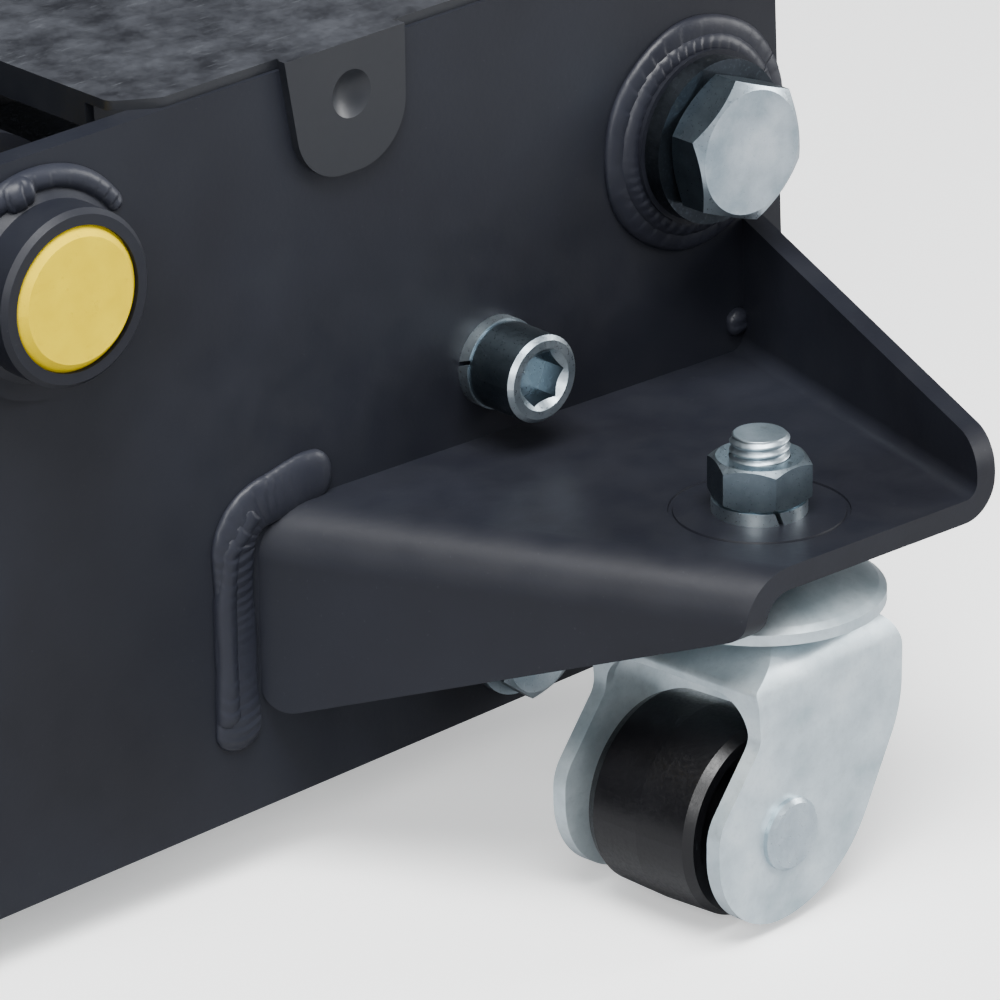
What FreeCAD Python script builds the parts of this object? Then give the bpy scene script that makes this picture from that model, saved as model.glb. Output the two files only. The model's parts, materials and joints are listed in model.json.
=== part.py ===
"""Hydraulic trolley jack, about 3 tonnes: chassis, lift arm, power unit, handle, wheels and casters.

Frame: +X towards the saddle, +Y to the left, +Z up. The origin is on the floor under the middle of the jack.
Lengths are millimetres. A position written dx is measured forward from the cap screws.
"""
import FreeCAD, Part
import math
import os
import re

import Sketcher
from FreeCAD import Placement, Rotation, Vector

SIZES = {
    # chassis
    "body_width": 160,              # over the two side plates
    "plate_thick": 5,
    "plate_height": 150,
    "plate_pitch_deg": 2.34,        # the side plates fall towards the front
    "plate_rear_reach": 79,         # cap screw to the rear edge
    "screw_above_edge": 75.2,       # cap screw to the lower edge
    "edge_break_dx": 170,           # where the lower and upper edges change direction
    "nose_dx": 479,
    "nose_height": 48,
    # main shaft of the lift arm
    "shaft_dx": 111.5,
    "shaft_above_screw": 44.6,
    "shaft_diameter": 28.4,
    "shaft_end_proud": 11.9,
    "shaft_chamfer": 2,
    "boss_outer": 34.5,
    "boss_proud": 11,
    "boss_flange": 44,
    "boss_flange_thick": 1.6,
    # handle pivot
    "pivot_dx": -54,
    "pivot_above_screw": 34.7,
    "pivot_bolt": 18,
    "pivot_flats": 27,
    "pivot_head": 9,
    "pivot_boss": 36,
    "pivot_boss_thick": 4,
    "pivot_washer": 34,
    "pivot_washer_thick": 4,
    "pivot_engagement": 28,
    # power unit fasteners
    "cap_screw": 12,
    "cap_head": 18,
    "cap_head_high": 12.2,
    "cap_socket": 10,
    "lock_washer": 18.8,
    "lock_washer_thick": 2.6,
    "unit_bolt": 10,
    "unit_bolt_flats": 17,
    "unit_bolt_head": 6.4,
    "unit_bolt_dx": -4.2,
    "unit_bolt_below": 62,
    "cap_screw_reach": 34,
    "unit_bolt_reach": 32,
    "unit_washer": 21,
    "unit_washer_thick": 2,
    # top cover
    "cover_thick": 2,
    "cover_front_dx": 89,
    "cover_rear_dx": -12,
    "cover_lip": 7,
    "cover_gap": 0.02,              # the cover rests on the side plates
    "tab_dx": 38.6,
    "tab_drop": 24.2,
    "tab_wide": 30,
    "dent_radius": 8.5,
    "dent_deep": 1.5,
    "dent_below": 8.5,
    # tie bar and clips
    "tie_dx": 300,
    "tie_above_edge": 35,
    "tie_bar": 22,
    "tie_bar_end": 14,
    "clip_thick": 1.9,
    "clip_groove": 1.5,
    "clip_proud": 4,
    "spacer_wall": 3,
    # caster bracket
    "sheet_thick": 4.8,
    "shelf_reach": 88.8,            # side plate to the outer edge
    "shelf_below_screw": 15.4,
    "bend_radius": 10,              # outside of the front bend
    "front_flap_in_dx": 61.5,
    "front_flap_out_dx": 16,
    "front_flap_drop": 43.4,        # shelf top to the lower corner at the side plate
    "front_flap_drop_out": 11.9,
    "rear_flap_in_dx": -72.9,
    "rear_flap_out_dx": -50.6,
    "rear_flap_rise": 28.3,
    "rear_flap_rise_out": 10.6,
    "stud_dx": -10.8,
    "stud_reach": 64.4,
    "ring_mark": 35.2,
    # swivel caster
    "caster_wheel": 40,
    "caster_tread": 27,
    "caster_axle_to_shelf": 56.6,
    "caster_trail": 15.7,
    "caster_yaw_deg": 5,
    "fork_width": 43,
    "fork_sheet": 3.2,
    "fork_end": 36.6,
    "race_disc": 49.6,
    "race_rim_below": 18.1,
    "caster_pin": 8,
    "caster_pin_head": 14.7,
    "stud": 12,
    "stud_proud": 15.8,
    "nut_flats": 18,
    "nut_high": 8.6,
    "nut_turn_deg": 3.6,
    "pin_head_thick": 1.8,
    # front wheels
    "front_wheel": 75,
    "front_wheel_wide": 28,
    "front_axle": 20,
    "front_axle_dx": 455,
    "wheel_side_gap": 3,
    "wheel_rim": 7,
    "wheel_hub_wall": 8,
    "wheel_dish": 7,
    # lift arm and saddle
    "arm_length": 390,
    "arm_rest_deg": 6.9,
    "arm_sheet": 8,
    "arm_rear_gap": 104,            # between the arm plates at the hub
    "arm_front_gap": 56,
    "arm_hub": 48,
    "arm_nose": 36,
    "lug_radius": 74,
    "lug_back_deg": 30,
    "lug_end": 30,
    "lug_pin": 16,
    "link_forward": 10,
    "link_below": 34,
    "link_rod": 9,
    "link_pin": 12,
    "link_eye": 20,
    "link_eye_thick": 8,
    "link_offset": 66,
    "saddle_pin": 18,
    "saddle_diameter": 90,
    "saddle_stem": 24,
    "saddle_top_above_pin": 40,
    "carrier_cheek": 20,
    "carrier_toe": 13,
    "notch_wide": 16,
    "notch_deep": 5,
    # power unit
    "ram_below_shaft": 72.6,
    "ram": 28,
    "tank": 76,
    "tank_wall": 3,
    "tank_length": 124,
    "cylinder_outer": 50,
    "cylinder_bore": 38,
    "gland_length": 18,
    "block_rear_dx": -26,
    "block_front_dx": 18,
    "block_width": 72,
    "yoke_gap": 84,
    "yoke_sheet": 8,
    "yoke_head": 20,
    "pump_offset": 29,
    "pump_axis_deg": -50,
    "pump_piston": 12,
    "pump_barrel": 22,
    "pump_barrel_start": 42,        # along the pump's axis, from the handle pivot
    "pump_boss_start": 58,
    "pump_barrel_end": 82,
    "pump_piston_end": 60,
    "barrel_thread": 16,
    "piston_cap": 21,
    "piston_cap_thick": 3,
    "spring_line_below": 8,         # return springs and valve seat under the ram's axis
    "valve_stem": 12,
    "yoke_high": 34,
    "cam_start": 16,
    "cam_rise": 8.6,                # millimetres per radian of handle travel
    "handle_travel_deg": 80,
    # handle
    "socket_bore": 34.6,
    "socket_wall": 4.5,
    "socket_length": 140,
    "trunnion": 30,
    "handle_tube": 34,
    "handle_wall": 2.5,
    "lower_handle": 430,
    "upper_handle": 400,
    "grip_length": 130,
    "grip_outer": 40,
    "handle_seat": 30.3,            # pivot to the foot of the handle
    "spigot_length": 55,
    "clamp_below_top": 24,
    "clamp_thread": 8,
    "ear_inner": 11.4,
    "ear_thick": 6.5,
    # fits
    "running_fit": 0.05,
    "side_play": 1,
    "cam_clearance": 0.35,
    "yoke_slot_play": 2,
}
FUNCTIONS = ("cos", "sin", "tan", "sqrt")

doc = FreeCAD.newDocument("TrolleyJack")
sheet = doc.addObject("Spreadsheet::Sheet", "Sizes")
for row, (alias, number) in enumerate(SIZES.items(), 1):
    sheet.set(f"A{row}", alias)
    sheet.set(f"B{row}", str(number))
    sheet.setAlias(f"B{row}", alias)
doc.recompute()

AHEAD = {
    "x": Rotation(Vector(0, 1, 0), 90),
    "-x": Rotation(Vector(0, 1, 0), -90),
    "y": Rotation(Vector(1, 0, 0), -90),
    "-y": Rotation(Vector(1, 0, 0), 90),
    "z": Rotation(),
    "-z": Rotation(Vector(1, 0, 0), 180),
}
nodes = {}


# ---------------------------------------------------------------- tools
def full(text):
    """The expression with each sheet alias named in full."""
    return re.sub(r"\b(?!(?:%s)\b)([a-z][a-z_]+)\b" % "|".join(FUNCTIONS), r"Sizes.\1", text)


def val(size):
    """A number as it is, or the value of an expression in sheet aliases."""
    if not isinstance(size, str):
        return float(size)
    found = sheet.evalExpression(full(size))
    return float(getattr(found, "Value", found))


def bind(obj, prop, size):
    """Sets a property, tied to the sheet where the size is an expression."""
    if isinstance(size, str):
        obj.setExpression(prop, full(size))
    else:
        setattr(obj, prop, size)


def aimed(at, along="z"):
    """A placement that turns local +Z to a named axis, or uses a rotation."""
    return Placement(Vector(*at), AHEAD[along] if isinstance(along, str) else along)


def rod(name, radius, length, at, along="z"):
    piece = doc.addObject("Part::Cylinder", name)
    bind(piece, "Radius", radius)
    bind(piece, "Height", length)
    piece.Placement = aimed(at, along)
    return piece


def block(name, long, wide, high, at, turn=None):
    """A box whose corner of least x, y, z is at the point."""
    piece = doc.addObject("Part::Box", name)
    bind(piece, "Length", long)
    bind(piece, "Width", wide)
    bind(piece, "Height", high)
    piece.Placement = Placement(Vector(*at), turn or Rotation())
    return piece


def fuse(name, *pieces):
    made = doc.addObject("Part::MultiFuse", name)
    made.Shapes = list(pieces)
    made.Refine = True
    return made


def common(name, base, tool):
    made = doc.addObject("Part::Common", name)
    made.Base, made.Tool = base, tool
    return made


def cut(name, base, *tools):
    """The base less each tool in turn."""
    for count, tool in enumerate(tools, 1):
        made = doc.addObject("Part::Cut", name if count == len(tools) else f"{name}_step{count}")
        made.Base, made.Tool = base, tool
        base = made
    return base


def group(name, *pieces):
    made = doc.addObject("Part::Compound", name)
    made.Links = list(pieces)
    return made


def mirrored(name, piece):
    """The same piece on the right-hand side."""
    made = doc.addObject("Part::Mirroring", name)
    made.Source = piece
    made.Normal = Vector(0, 1, 0)
    return made


def moved(name, piece, placement):
    """The piece with its own frame set down somewhere else."""
    made = doc.addObject("Part::Compound", name)
    made.Links = [piece]
    made.Placement = placement
    return made


def pair(name, piece):
    return group(name, piece, mirrored(f"{name}_right", piece))


def outline(points):
    """Lines and arcs round a closed polygon; a corner is (x, y) or (x, y, radius)."""
    corners = [Vector(val(p[0]), val(p[1]), 0) for p in points]
    radii = [val(p[2]) if len(p) > 2 else 0 for p in points]
    ends = []
    for i, corner in enumerate(corners):
        back = (corners[i - 1] - corner).normalize()
        on = (corners[(i + 1) % len(corners)] - corner).normalize()
        if not radii[i]:
            ends.append((corner, corner, None))
            continue
        half = back.getAngle(on) / 2
        reach = radii[i] / math.tan(half)
        middle = (back + on).normalize()
        centre = corner + middle * (radii[i] / math.sin(half))
        ends.append((corner + back * reach, corner + on * reach, centre - middle * radii[i]))
    edges = []
    for i, (enter, leave, top) in enumerate(ends):
        if top is not None:
            left_turn = (top - enter).cross(leave - top).z > 0
            first, last = (enter, leave) if left_turn else (leave, enter)
            edges.append(Part.ArcOfCircle(first, top, last))
        on = ends[(i + 1) % len(ends)][0]
        if leave.distanceToPoint(on) > 1e-4:
            edges.append(Part.LineSegment(leave, on))
    return edges


def joined_ends(sketch, edges):
    """Ties each edge of a closed outline to the next; an arc may run either way round."""
    sketch.addGeometry(edges, False)
    for i, edge in enumerate(edges):
        follower = edges[(i + 1) % len(edges)]
        pairs = {
            p.distanceToPoint(q): (a, b)
            for a, p in ((1, edge.StartPoint), (2, edge.EndPoint))
            for b, q in ((1, follower.StartPoint), (2, follower.EndPoint))
        }
        mine, theirs = pairs[min(pairs)]
        sketch.addConstraint(Sketcher.Constraint("Coincident", i, mine, (i + 1) % len(edges), theirs))


def sketched(body, plane, points, holes=()):
    """A sketch on one of the body's own planes: an outline and round holes (x, y, radius)."""
    sketch = body.newObject("Sketcher::SketchObject", body.Name + "_sketch")
    base = next(f for f in body.Origin.OriginFeatures if f.Role == plane)
    sketch.AttachmentSupport = [(base, "")]
    sketch.MapMode = "FlatFace"
    joined_ends(sketch, outline(points))
    for x, y, radius in holes:
        hole = sketch.addGeometry(Part.Circle(Vector(x, y, 0), Vector(0, 0, 1), val(radius)), False)
        rule = sketch.addConstraint(Sketcher.Constraint("Radius", hole, val(radius)))
        if isinstance(radius, str):
            sketch.setExpression(f"Constraints[{rule}]", full(radius))
    return sketch


def slab(name, plane, points, thick, at=(0, 0, 0), turn=None, holes=()):
    """A flat outline padded: XY goes up, XZ goes to -Y, YZ goes forward."""
    body = doc.addObject("PartDesign::Body", name)
    sketch = sketched(body, plane, points, holes)
    pad = body.newObject("PartDesign::Pad", name + "_pad")
    pad.Profile = sketch
    bind(pad, "Length", thick)
    body.Placement = Placement(Vector(*at), turn or Rotation())
    return body


def turned(name, points, at, along="z", angle=360):
    """A lathe piece: its half outline as (radius, height), turned about local Z."""
    body = doc.addObject("PartDesign::Body", name)
    sketch = sketched(body, "XZ_Plane", points)
    for i, point in enumerate(points):
        if isinstance(point[0], str) and not any(len(p) > 2 for p in points):
            rule = sketch.addConstraint(Sketcher.Constraint("DistanceX", -1, 1, i, 1, val(point[0])))
            sketch.setExpression(f"Constraints[{rule}]", full(point[0]))
    spin = body.newObject("PartDesign::Revolution", name + "_turn")
    spin.Profile = sketch
    spin.ReferenceAxis = (sketch, ["V_Axis"])
    spin.Angle = angle
    body.Placement = aimed(at, along)
    return body


def link_outline(first, radius, second, other):
    """The outline of a link: two round ends joined by tangent lines."""
    a, b = Vector(*first, 0), Vector(*second, 0)
    away = b - a
    heading = math.atan2(away.y, away.x)
    spread = math.acos((radius - other) / away.Length)

    def at(centre, size, angle):
        return centre + Vector(math.cos(angle), math.sin(angle), 0) * size

    low, high = heading - spread, heading + spread
    return [
        Part.LineSegment(at(a, radius, low), at(b, other, low)),
        Part.ArcOfCircle(at(b, other, low), at(b, other, heading), at(b, other, high)),
        Part.LineSegment(at(b, other, high), at(a, radius, high)),
        Part.ArcOfCircle(at(a, radius, high), at(a, radius, heading + math.pi), at(a, radius, low)),
    ]


def link(name, first, radius, second, other, thick, y, holes=()):
    """A flat link in the XZ plane, from y down to y less its thickness."""
    body = doc.addObject("PartDesign::Body", name)
    sketch = body.newObject("Sketcher::SketchObject", name + "_sketch")
    base = next(f for f in body.Origin.OriginFeatures if f.Role == "XZ_Plane")
    sketch.AttachmentSupport = [(base, "")]
    sketch.MapMode = "FlatFace"
    sketch.addGeometry(link_outline(first, val(radius), second, val(other)), False)
    for x, z, hole_radius in holes:
        hole = sketch.addGeometry(Part.Circle(Vector(x, z, 0), Vector(0, 0, 1), val(hole_radius)), False)
        rule = sketch.addConstraint(Sketcher.Constraint("Radius", hole, val(hole_radius)))
        sketch.setExpression(f"Constraints[{rule}]", full(hole_radius))
    pad = body.newObject("PartDesign::Pad", name + "_pad")
    pad.Profile = sketch
    bind(pad, "Length", thick)
    body.Placement = Placement(Vector(0, y, 0), Rotation())
    return body


def hexagon(name, flats, high, at, along, round_both=False, turn=0):
    """A hexagon prism with its corners turned off at one end or both."""
    prism = doc.addObject("Part::Prism", name + "_prism")
    prism.Polygon = 6
    bind(prism, "Circumradius", f"{flats} / 2 / cos(30)")
    bind(prism, "Height", high)
    prism.Placement = Placement(Vector(), Rotation(Vector(0, 0, 1), turn))
    flat, tall = val(flats) / 2, val(high)
    face = flat * 0.95
    past = flat / math.cos(math.radians(30)) + 1
    drop = (past - face) * math.tan(math.radians(30))
    profile = [(0, 0), (past, 0), (past, tall - drop), (face, tall), (0, tall)]
    if round_both:
        profile[0:2] = [(0, 0), (face, 0), (past, drop)]
    crown = turned(name + "_crown", profile, (0, 0, 0))
    made = common(name + "_hexagon", prism, crown)
    made.Placement = aimed(at, along)
    return made


def bolt(name, diameter, flats, head, shank, at, along, turn=0, round_both=False):
    """A hexagon bolt: its seat is at the point, and its head points along the axis."""
    top = hexagon(name + "_head", flats, head, (0, 0, 0), "z", round_both, turn)
    reach, radius, inside = val(shank), val(diameter) / 2, 0.5
    stem = turned(name + "_stem", [
        (0, -reach), (radius - 1, -reach), (radius, 1 - reach), (radius, inside), (0, inside)], (0, 0, 0))
    made = fuse(name, top, stem)
    made.Placement = aimed(at, along)
    return made


def ring_profile(inner, outer, low, high):
    """The half outline of a plain ring."""
    return [(inner, low), (outer, low), (outer, high), (inner, high)]


def washer(name, outer, inner, thick, at, along):
    return turned(name, ring_profile(val(inner) / 2, val(outer) / 2, 0, val(thick)), at, along)


def lock_washer(name, outer, inner, thick, at, along, split_deg):
    """A split spring washer with a slanted gap."""
    ring = washer(name + "_ring", outer, inner, thick, (0, 0, 0), "z")
    gap, slant = 0.9, 20
    slit = block(name + "_slit", val(outer), gap, val(thick) * 3, (0, -gap / 2, -val(thick)),
                 Rotation(Vector(1, 0, 0), slant))
    spun = moved(name + "_slit_turned", slit, Placement(Vector(), Rotation(Vector(0, 0, 1), split_deg)))
    made = cut(name, ring, spun)
    made.Placement = aimed(at, along)
    return made


def node(name, piece):
    nodes[name] = piece
    return piece


# ---------------------------------------------------------------- places worked out from the sizes
FALL = math.tan(math.radians(val("plate_pitch_deg")))
SHELF_Z = val("caster_wheel / 2 + caster_axle_to_shelf")
SCREW_Z = SHELF_Z + val("shelf_below_screw")
ARM_DEG = val("arm_rest_deg")
ARM_RUN = val("arm_length") * math.cos(math.radians(ARM_DEG))
ARM_DROP = val("arm_length") * math.sin(math.radians(ARM_DEG))
REAR_EDGE = val("plate_rear_reach") + FALL * val("screw_above_edge")
FRONT_END = val("shaft_dx + saddle_diameter / 2") + ARM_RUN
SCREW_X = (REAR_EDGE - FRONT_END) / 2
HALF = val("body_width / 2")
INSIDE = val("body_width / 2 - plate_thick")


def fwd(dx):
    """The jack's x of a distance forward of the cap screws."""
    return SCREW_X + val(dx)


def low_edge(dx):
    """Height of the side plate's lower edge."""
    return SCREW_Z - val("screw_above_edge") - FALL * val(dx)


SHAFT = (fwd("shaft_dx"), SCREW_Z + val("shaft_above_screw"))
PIVOT = (fwd("pivot_dx"), SCREW_Z + val("pivot_above_screw"))
UNIT_BOLT = (fwd("unit_bolt_dx"), SCREW_Z - val("unit_bolt_below"))
FRONT_AXLE = (fwd("front_axle_dx"), val("front_wheel / 2"))
SADDLE_PIN = (SHAFT[0] + ARM_RUN, SHAFT[1] - ARM_DROP)
LINK_REAR = (SHAFT[0] + val("link_forward"), SHAFT[1] - val("link_below"))
LINK_FRONT = (SADDLE_PIN[0] + val("link_forward"), SADDLE_PIN[1] - val("link_below"))
LUG_SWING = math.radians(val("lug_back_deg"))
LUG_PIN = (
    SHAFT[0] - val("lug_radius") * math.sin(LUG_SWING),
    SHAFT[1] - val("lug_radius") * math.cos(LUG_SWING),
)
LUG_LOWEST = SHAFT[1] - val("lug_radius")
RAM_Z = SHAFT[1] - val("ram_below_shaft")
SPRING_Z = RAM_Z - val("spring_line_below")
TIE = (fwd("tie_dx"), low_edge("edge_break_dx") + val("tie_above_edge"))
STUD = (fwd("stud_dx"), HALF + val("stud_reach"))


# ---------------------------------------------------------------- chassis
def side_plate_outline():
    brk = val("edge_break_dx")
    rear_low = -REAR_EDGE
    rear_high = -(val("plate_rear_reach") - FALL * (val("plate_height") - val("screw_above_edge")))
    nose, nose_low = val("nose_dx"), FRONT_AXLE[1] - val("nose_height") / 2
    nose_high = nose_low + val("nose_height")
    nose_round = val("nose_height") / 2 - 1
    nose_flat, sweep = 49, 60
    return [
        (fwd(rear_low), low_edge(rear_low), 3),
        (fwd(brk), low_edge(brk), sweep),
        (fwd(nose), nose_low, nose_round),
        (fwd(nose), nose_high, nose_round),
        (fwd(nose - nose_flat), nose_high + 4, sweep),
        (fwd(brk - 5), low_edge(brk - 5) + val("plate_height"), sweep),
        (fwd(rear_high), low_edge(rear_high) + val("plate_height"), 3),
    ]


def side_plates():
    holes = [
        (*SHAFT, "shaft_diameter / 2"),
        (*PIVOT, "pivot_bolt / 2"),
        (SCREW_X, SCREW_Z, "cap_screw / 2"),
        (*UNIT_BOLT, "unit_bolt / 2"),
        (*FRONT_AXLE, "front_axle / 2"),
        (*TIE, "tie_bar_end / 2"),
    ]
    points = side_plate_outline()
    for name, face in (("left_side_plate", HALF), ("right_side_plate", -INSIDE)):
        node(name, slab(name, "XZ_Plane", points, "plate_thick", (0, face, 0), holes=holes))


def caster_brackets():
    """One bent sheet each: a level shelf, a flap bent down in front and a flap bent up behind."""
    thick, reach = val("sheet_thick"), val("shelf_reach")
    outer = HALF + reach
    rad = val("bend_radius")
    long = reach * 1.6

    def fold(name, in_dx, out_dx, profile):
        """The bent profile (outward normal, height) drawn along the fold line."""
        start = Vector(fwd(in_dx), HALF, 0)
        run = Vector(fwd(out_dx), outer, 0) - start
        heading = math.degrees(math.atan2(run.y, run.x))
        body = slab(name, "YZ_Plane", profile, long)
        before = run.normalize() * (long * 0.2)
        body.Placement = Placement(start - before, Rotation(Vector(0, 0, 1), heading))
        return body

    spare = 8                       # left on the flaps for the trim to take off
    drop, back = val("front_flap_drop") + spare, 60
    # local y points to the left of the fold line's heading, which is backwards
    front = fold("bracket_front_fold", "front_flap_in_dx", "front_flap_out_dx", [
        (0, SHELF_Z - drop), (0, SHELF_Z, rad), (back, SHELF_Z), (back, SHELF_Z - thick),
        (thick, SHELF_Z - thick, rad - thick), (thick, SHELF_Z - drop),
    ])
    small, back = 3, -45
    rise = val("rear_flap_rise") + spare
    rear = fold("bracket_rear_fold", "rear_flap_in_dx", "rear_flap_out_dx", [
        (0, SHELF_Z + rise), (0, SHELF_Z - thick, small + thick), (back, SHELF_Z - thick),
        (back, SHELF_Z), (-thick, SHELF_Z, small), (-thick, SHELF_Z + rise),
    ])
    clear = 13                      # the flat part of the shelf stops short of both bends
    web = slab("bracket_shelf", "XY_Plane", [
        (fwd("front_flap_in_dx") - clear, HALF), (fwd("front_flap_out_dx") - clear, outer),
        (fwd("rear_flap_out_dx") + clear, outer), (fwd("rear_flap_in_dx") + clear, HALF),
    ], "sheet_thick", (0, 0, SHELF_Z - thick))
    joined = fuse("bracket_blank", front, web, rear)
    trim = slab("bracket_trim", "YZ_Plane", [
        (HALF, SHELF_Z - val("front_flap_drop"), 5),
        (outer, SHELF_Z - val("front_flap_drop_out"), 5),
        (outer, SHELF_Z + val("rear_flap_rise_out"), 8),
        (HALF, SHELF_Z + val("rear_flap_rise")),
    ], 260, (fwd(-130), 0, 0))
    shaped = common("bracket_shaped", joined, trim)
    hole = rod("bracket_stud_hole", "stud / 2", 40, (*STUD, SHELF_Z - 20))
    edge = val("ring_mark / 2")
    mark = turned("bracket_ring_mark", [
        (edge - 0.7, -0.4), (edge, -0.4), (edge + 0.5, 1), (edge - 1.2, 1)], (*STUD, SHELF_Z))
    left = node("left_caster_bracket", cut("left_caster_bracket", shaped, hole, mark))
    node("right_caster_bracket", mirrored("right_caster_bracket", left))


def main_shaft():
    half = HALF + val("shaft_end_proud")
    radius, bevel = val("shaft_diameter / 2"), val("shaft_chamfer")
    node("main_shaft", turned("main_shaft", [
        (0, -half), (radius - bevel, -half), (radius, bevel - half),
        (radius, half - bevel), (radius - bevel, half), (0, half)], (SHAFT[0], 0, SHAFT[1]), "y"))
    bore, ring, flange = val("shaft_diameter / 2"), val("boss_outer / 2"), val("boss_flange / 2")
    rise, base = val("boss_proud"), val("boss_flange_thick")
    left = turned("shaft_boss", [
        (bore, 0), (flange, 0), (flange, base), (ring + 1.5, base), (ring, base + 1.5),
        (ring, rise - 1), (ring - 1, rise), (bore, rise)], (SHAFT[0], HALF, SHAFT[1]), "y")
    node("shaft_bosses", pair("shaft_bosses", left))


def pivot_fasteners():
    at_boss = (PIVOT[0], HALF, PIVOT[1])
    boss = washer("pivot_boss", "pivot_boss", "pivot_bolt", "pivot_boss_thick", at_boss, "y")
    node("pivot_bosses", pair("pivot_bosses", boss))
    seat = HALF + val("pivot_boss_thick")
    ring = washer("pivot_washer", "pivot_washer", "pivot_bolt", "pivot_washer_thick",
                  (PIVOT[0], seat, PIVOT[1]), "y")
    node("pivot_washers", pair("pivot_washers", ring))
    seat += val("pivot_washer_thick")
    shank = seat - INSIDE + val("pivot_engagement")
    screw = bolt("pivot_bolt_left", "pivot_bolt", "pivot_flats", "pivot_head", shank,
                 (PIVOT[0], seat, PIVOT[1]), "y", 41, True)
    node("pivot_bolts", pair("pivot_bolts", screw))


def unit_fasteners():
    thick = val("lock_washer_thick")
    on_plate = lock_washer("cap_lock_washer", "lock_washer", "cap_screw", thick,
                           (SCREW_X, HALF, SCREW_Z), "y", -4)
    on_shelf = lock_washer("caster_lock_washer", "lock_washer", "stud", thick,
                           (*STUD, SHELF_Z), "z", 78.6)
    node("lock_washers", group("lock_washers", pair("cap_lock_washers", on_plate),
                               pair("caster_lock_washers", on_shelf)))
    radius, head, rise = val("cap_screw / 2"), val("cap_head / 2"), val("cap_head_high")
    reach, bevel, key_deep = val("cap_screw_reach"), 0.9, 6
    body = turned("cap_screw_body", [
        (0, -reach), (radius - 1, -reach), (radius, 1 - reach), (radius, 0), (head, 0),
        (head, rise - bevel), (head - bevel, rise), (0, rise)], (0, 0, 0))
    key = doc.addObject("Part::Prism", "cap_screw_key")
    key.Polygon = 6
    bind(key, "Circumradius", "cap_socket / 2 / cos(30)")
    key.Height = key_deep + 2
    key.Placement = Placement(Vector(0, 0, rise - key_deep), Rotation(Vector(0, 0, 1), 8))
    lip = val("cap_socket / 2")
    mouth = turned("cap_screw_mouth", [
        (0, rise - key_deep - 0.3), (lip, rise - 1.4), (lip + 1.6, rise + 0.2), (0, rise + 0.2)], (0, 0, 0))
    screw = cut("cap_screw_left", body, key, mouth)
    screw.Placement = aimed((SCREW_X, HALF + thick, SCREW_Z), "y")
    node("unit_cap_screws", pair("unit_cap_screws", screw))
    flat = washer("unit_bolt_washer", "unit_washer", "unit_bolt", "unit_washer_thick",
                  (UNIT_BOLT[0], HALF, UNIT_BOLT[1]), "y")
    node("unit_bolt_washers", pair("unit_bolt_washers", flat))
    seat = HALF + val("unit_washer_thick")
    low = bolt("unit_bolt_left", "unit_bolt", "unit_bolt_flats", "unit_bolt_head", "unit_bolt_reach",
               (UNIT_BOLT[0], seat, UNIT_BOLT[1]), "y", turn=22)
    node("unit_hex_bolts", pair("unit_hex_bolts", low))


def top_cover():
    """A thin cover on top of the side plates, with a front lip and a dimpled tab on each side."""
    thick, gap = val("cover_thick"), val("cover_gap")
    front, rear, lip = val("cover_front_dx"), val("cover_rear_dx"), val("cover_lip")
    mid, drop, wide = val("tab_dx"), val("tab_drop"), val("tab_wide / 2")
    edge = HALF + thick
    corner, lip_in = 8, 14
    top = slab("cover_sheet", "XY_Plane", [
        (rear, 1 - HALF, 4), (front - corner, 1 - HALF, 3), (front, 1 + corner - HALF - 2, 3),
        (front, HALF + 1 - corner, 3), (front - corner, HALF - 1, 3), (rear, HALF - 1, 4)],
        "cover_thick", (0, 0, gap))
    lip_front = block("cover_lip", thick, 2 * (HALF - lip_in), lip,
                      (front - thick, lip_in - HALF, thick - lip))
    pieces, dents = [top, lip_front], []
    ball_radius = val("dent_radius")
    tab_outline = [
        (mid - wide, gap + thick), (mid - wide + 1, -drop, 12.5), (mid + wide - 3.5, -drop, 11),
        (mid + wide, gap + thick)]
    for side, word, start in ((1, "left", edge), (-1, "right", -HALF)):
        pieces.append(slab(f"cover_tab_{word}", "XZ_Plane", tab_outline, "cover_thick", (0, start, 0)))
        pieces.append(block(f"cover_bridge_{word}", 2 * wide - 1, 2 * thick, thick,
                            (mid - wide + 0.5, side * HALF - thick, gap)))
        ball = doc.addObject("Part::Sphere", f"cover_dent_{word}")
        bind(ball, "Radius", "dent_radius")
        out = side * (edge + ball_radius - val("dent_deep"))
        ball.Placement = Placement(Vector(mid - 1, out, -val("dent_below")), Rotation())
        dents.append(ball)
    made = cut("top_cover", fuse("cover_blank", *pieces), *dents)
    tilt = Rotation(Vector(0, 1, 0), val("plate_pitch_deg"))
    made.Placement = Placement(Vector(SCREW_X, 0, low_edge(0) + val("plate_height")), tilt)
    node("top_cover", made)


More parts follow.
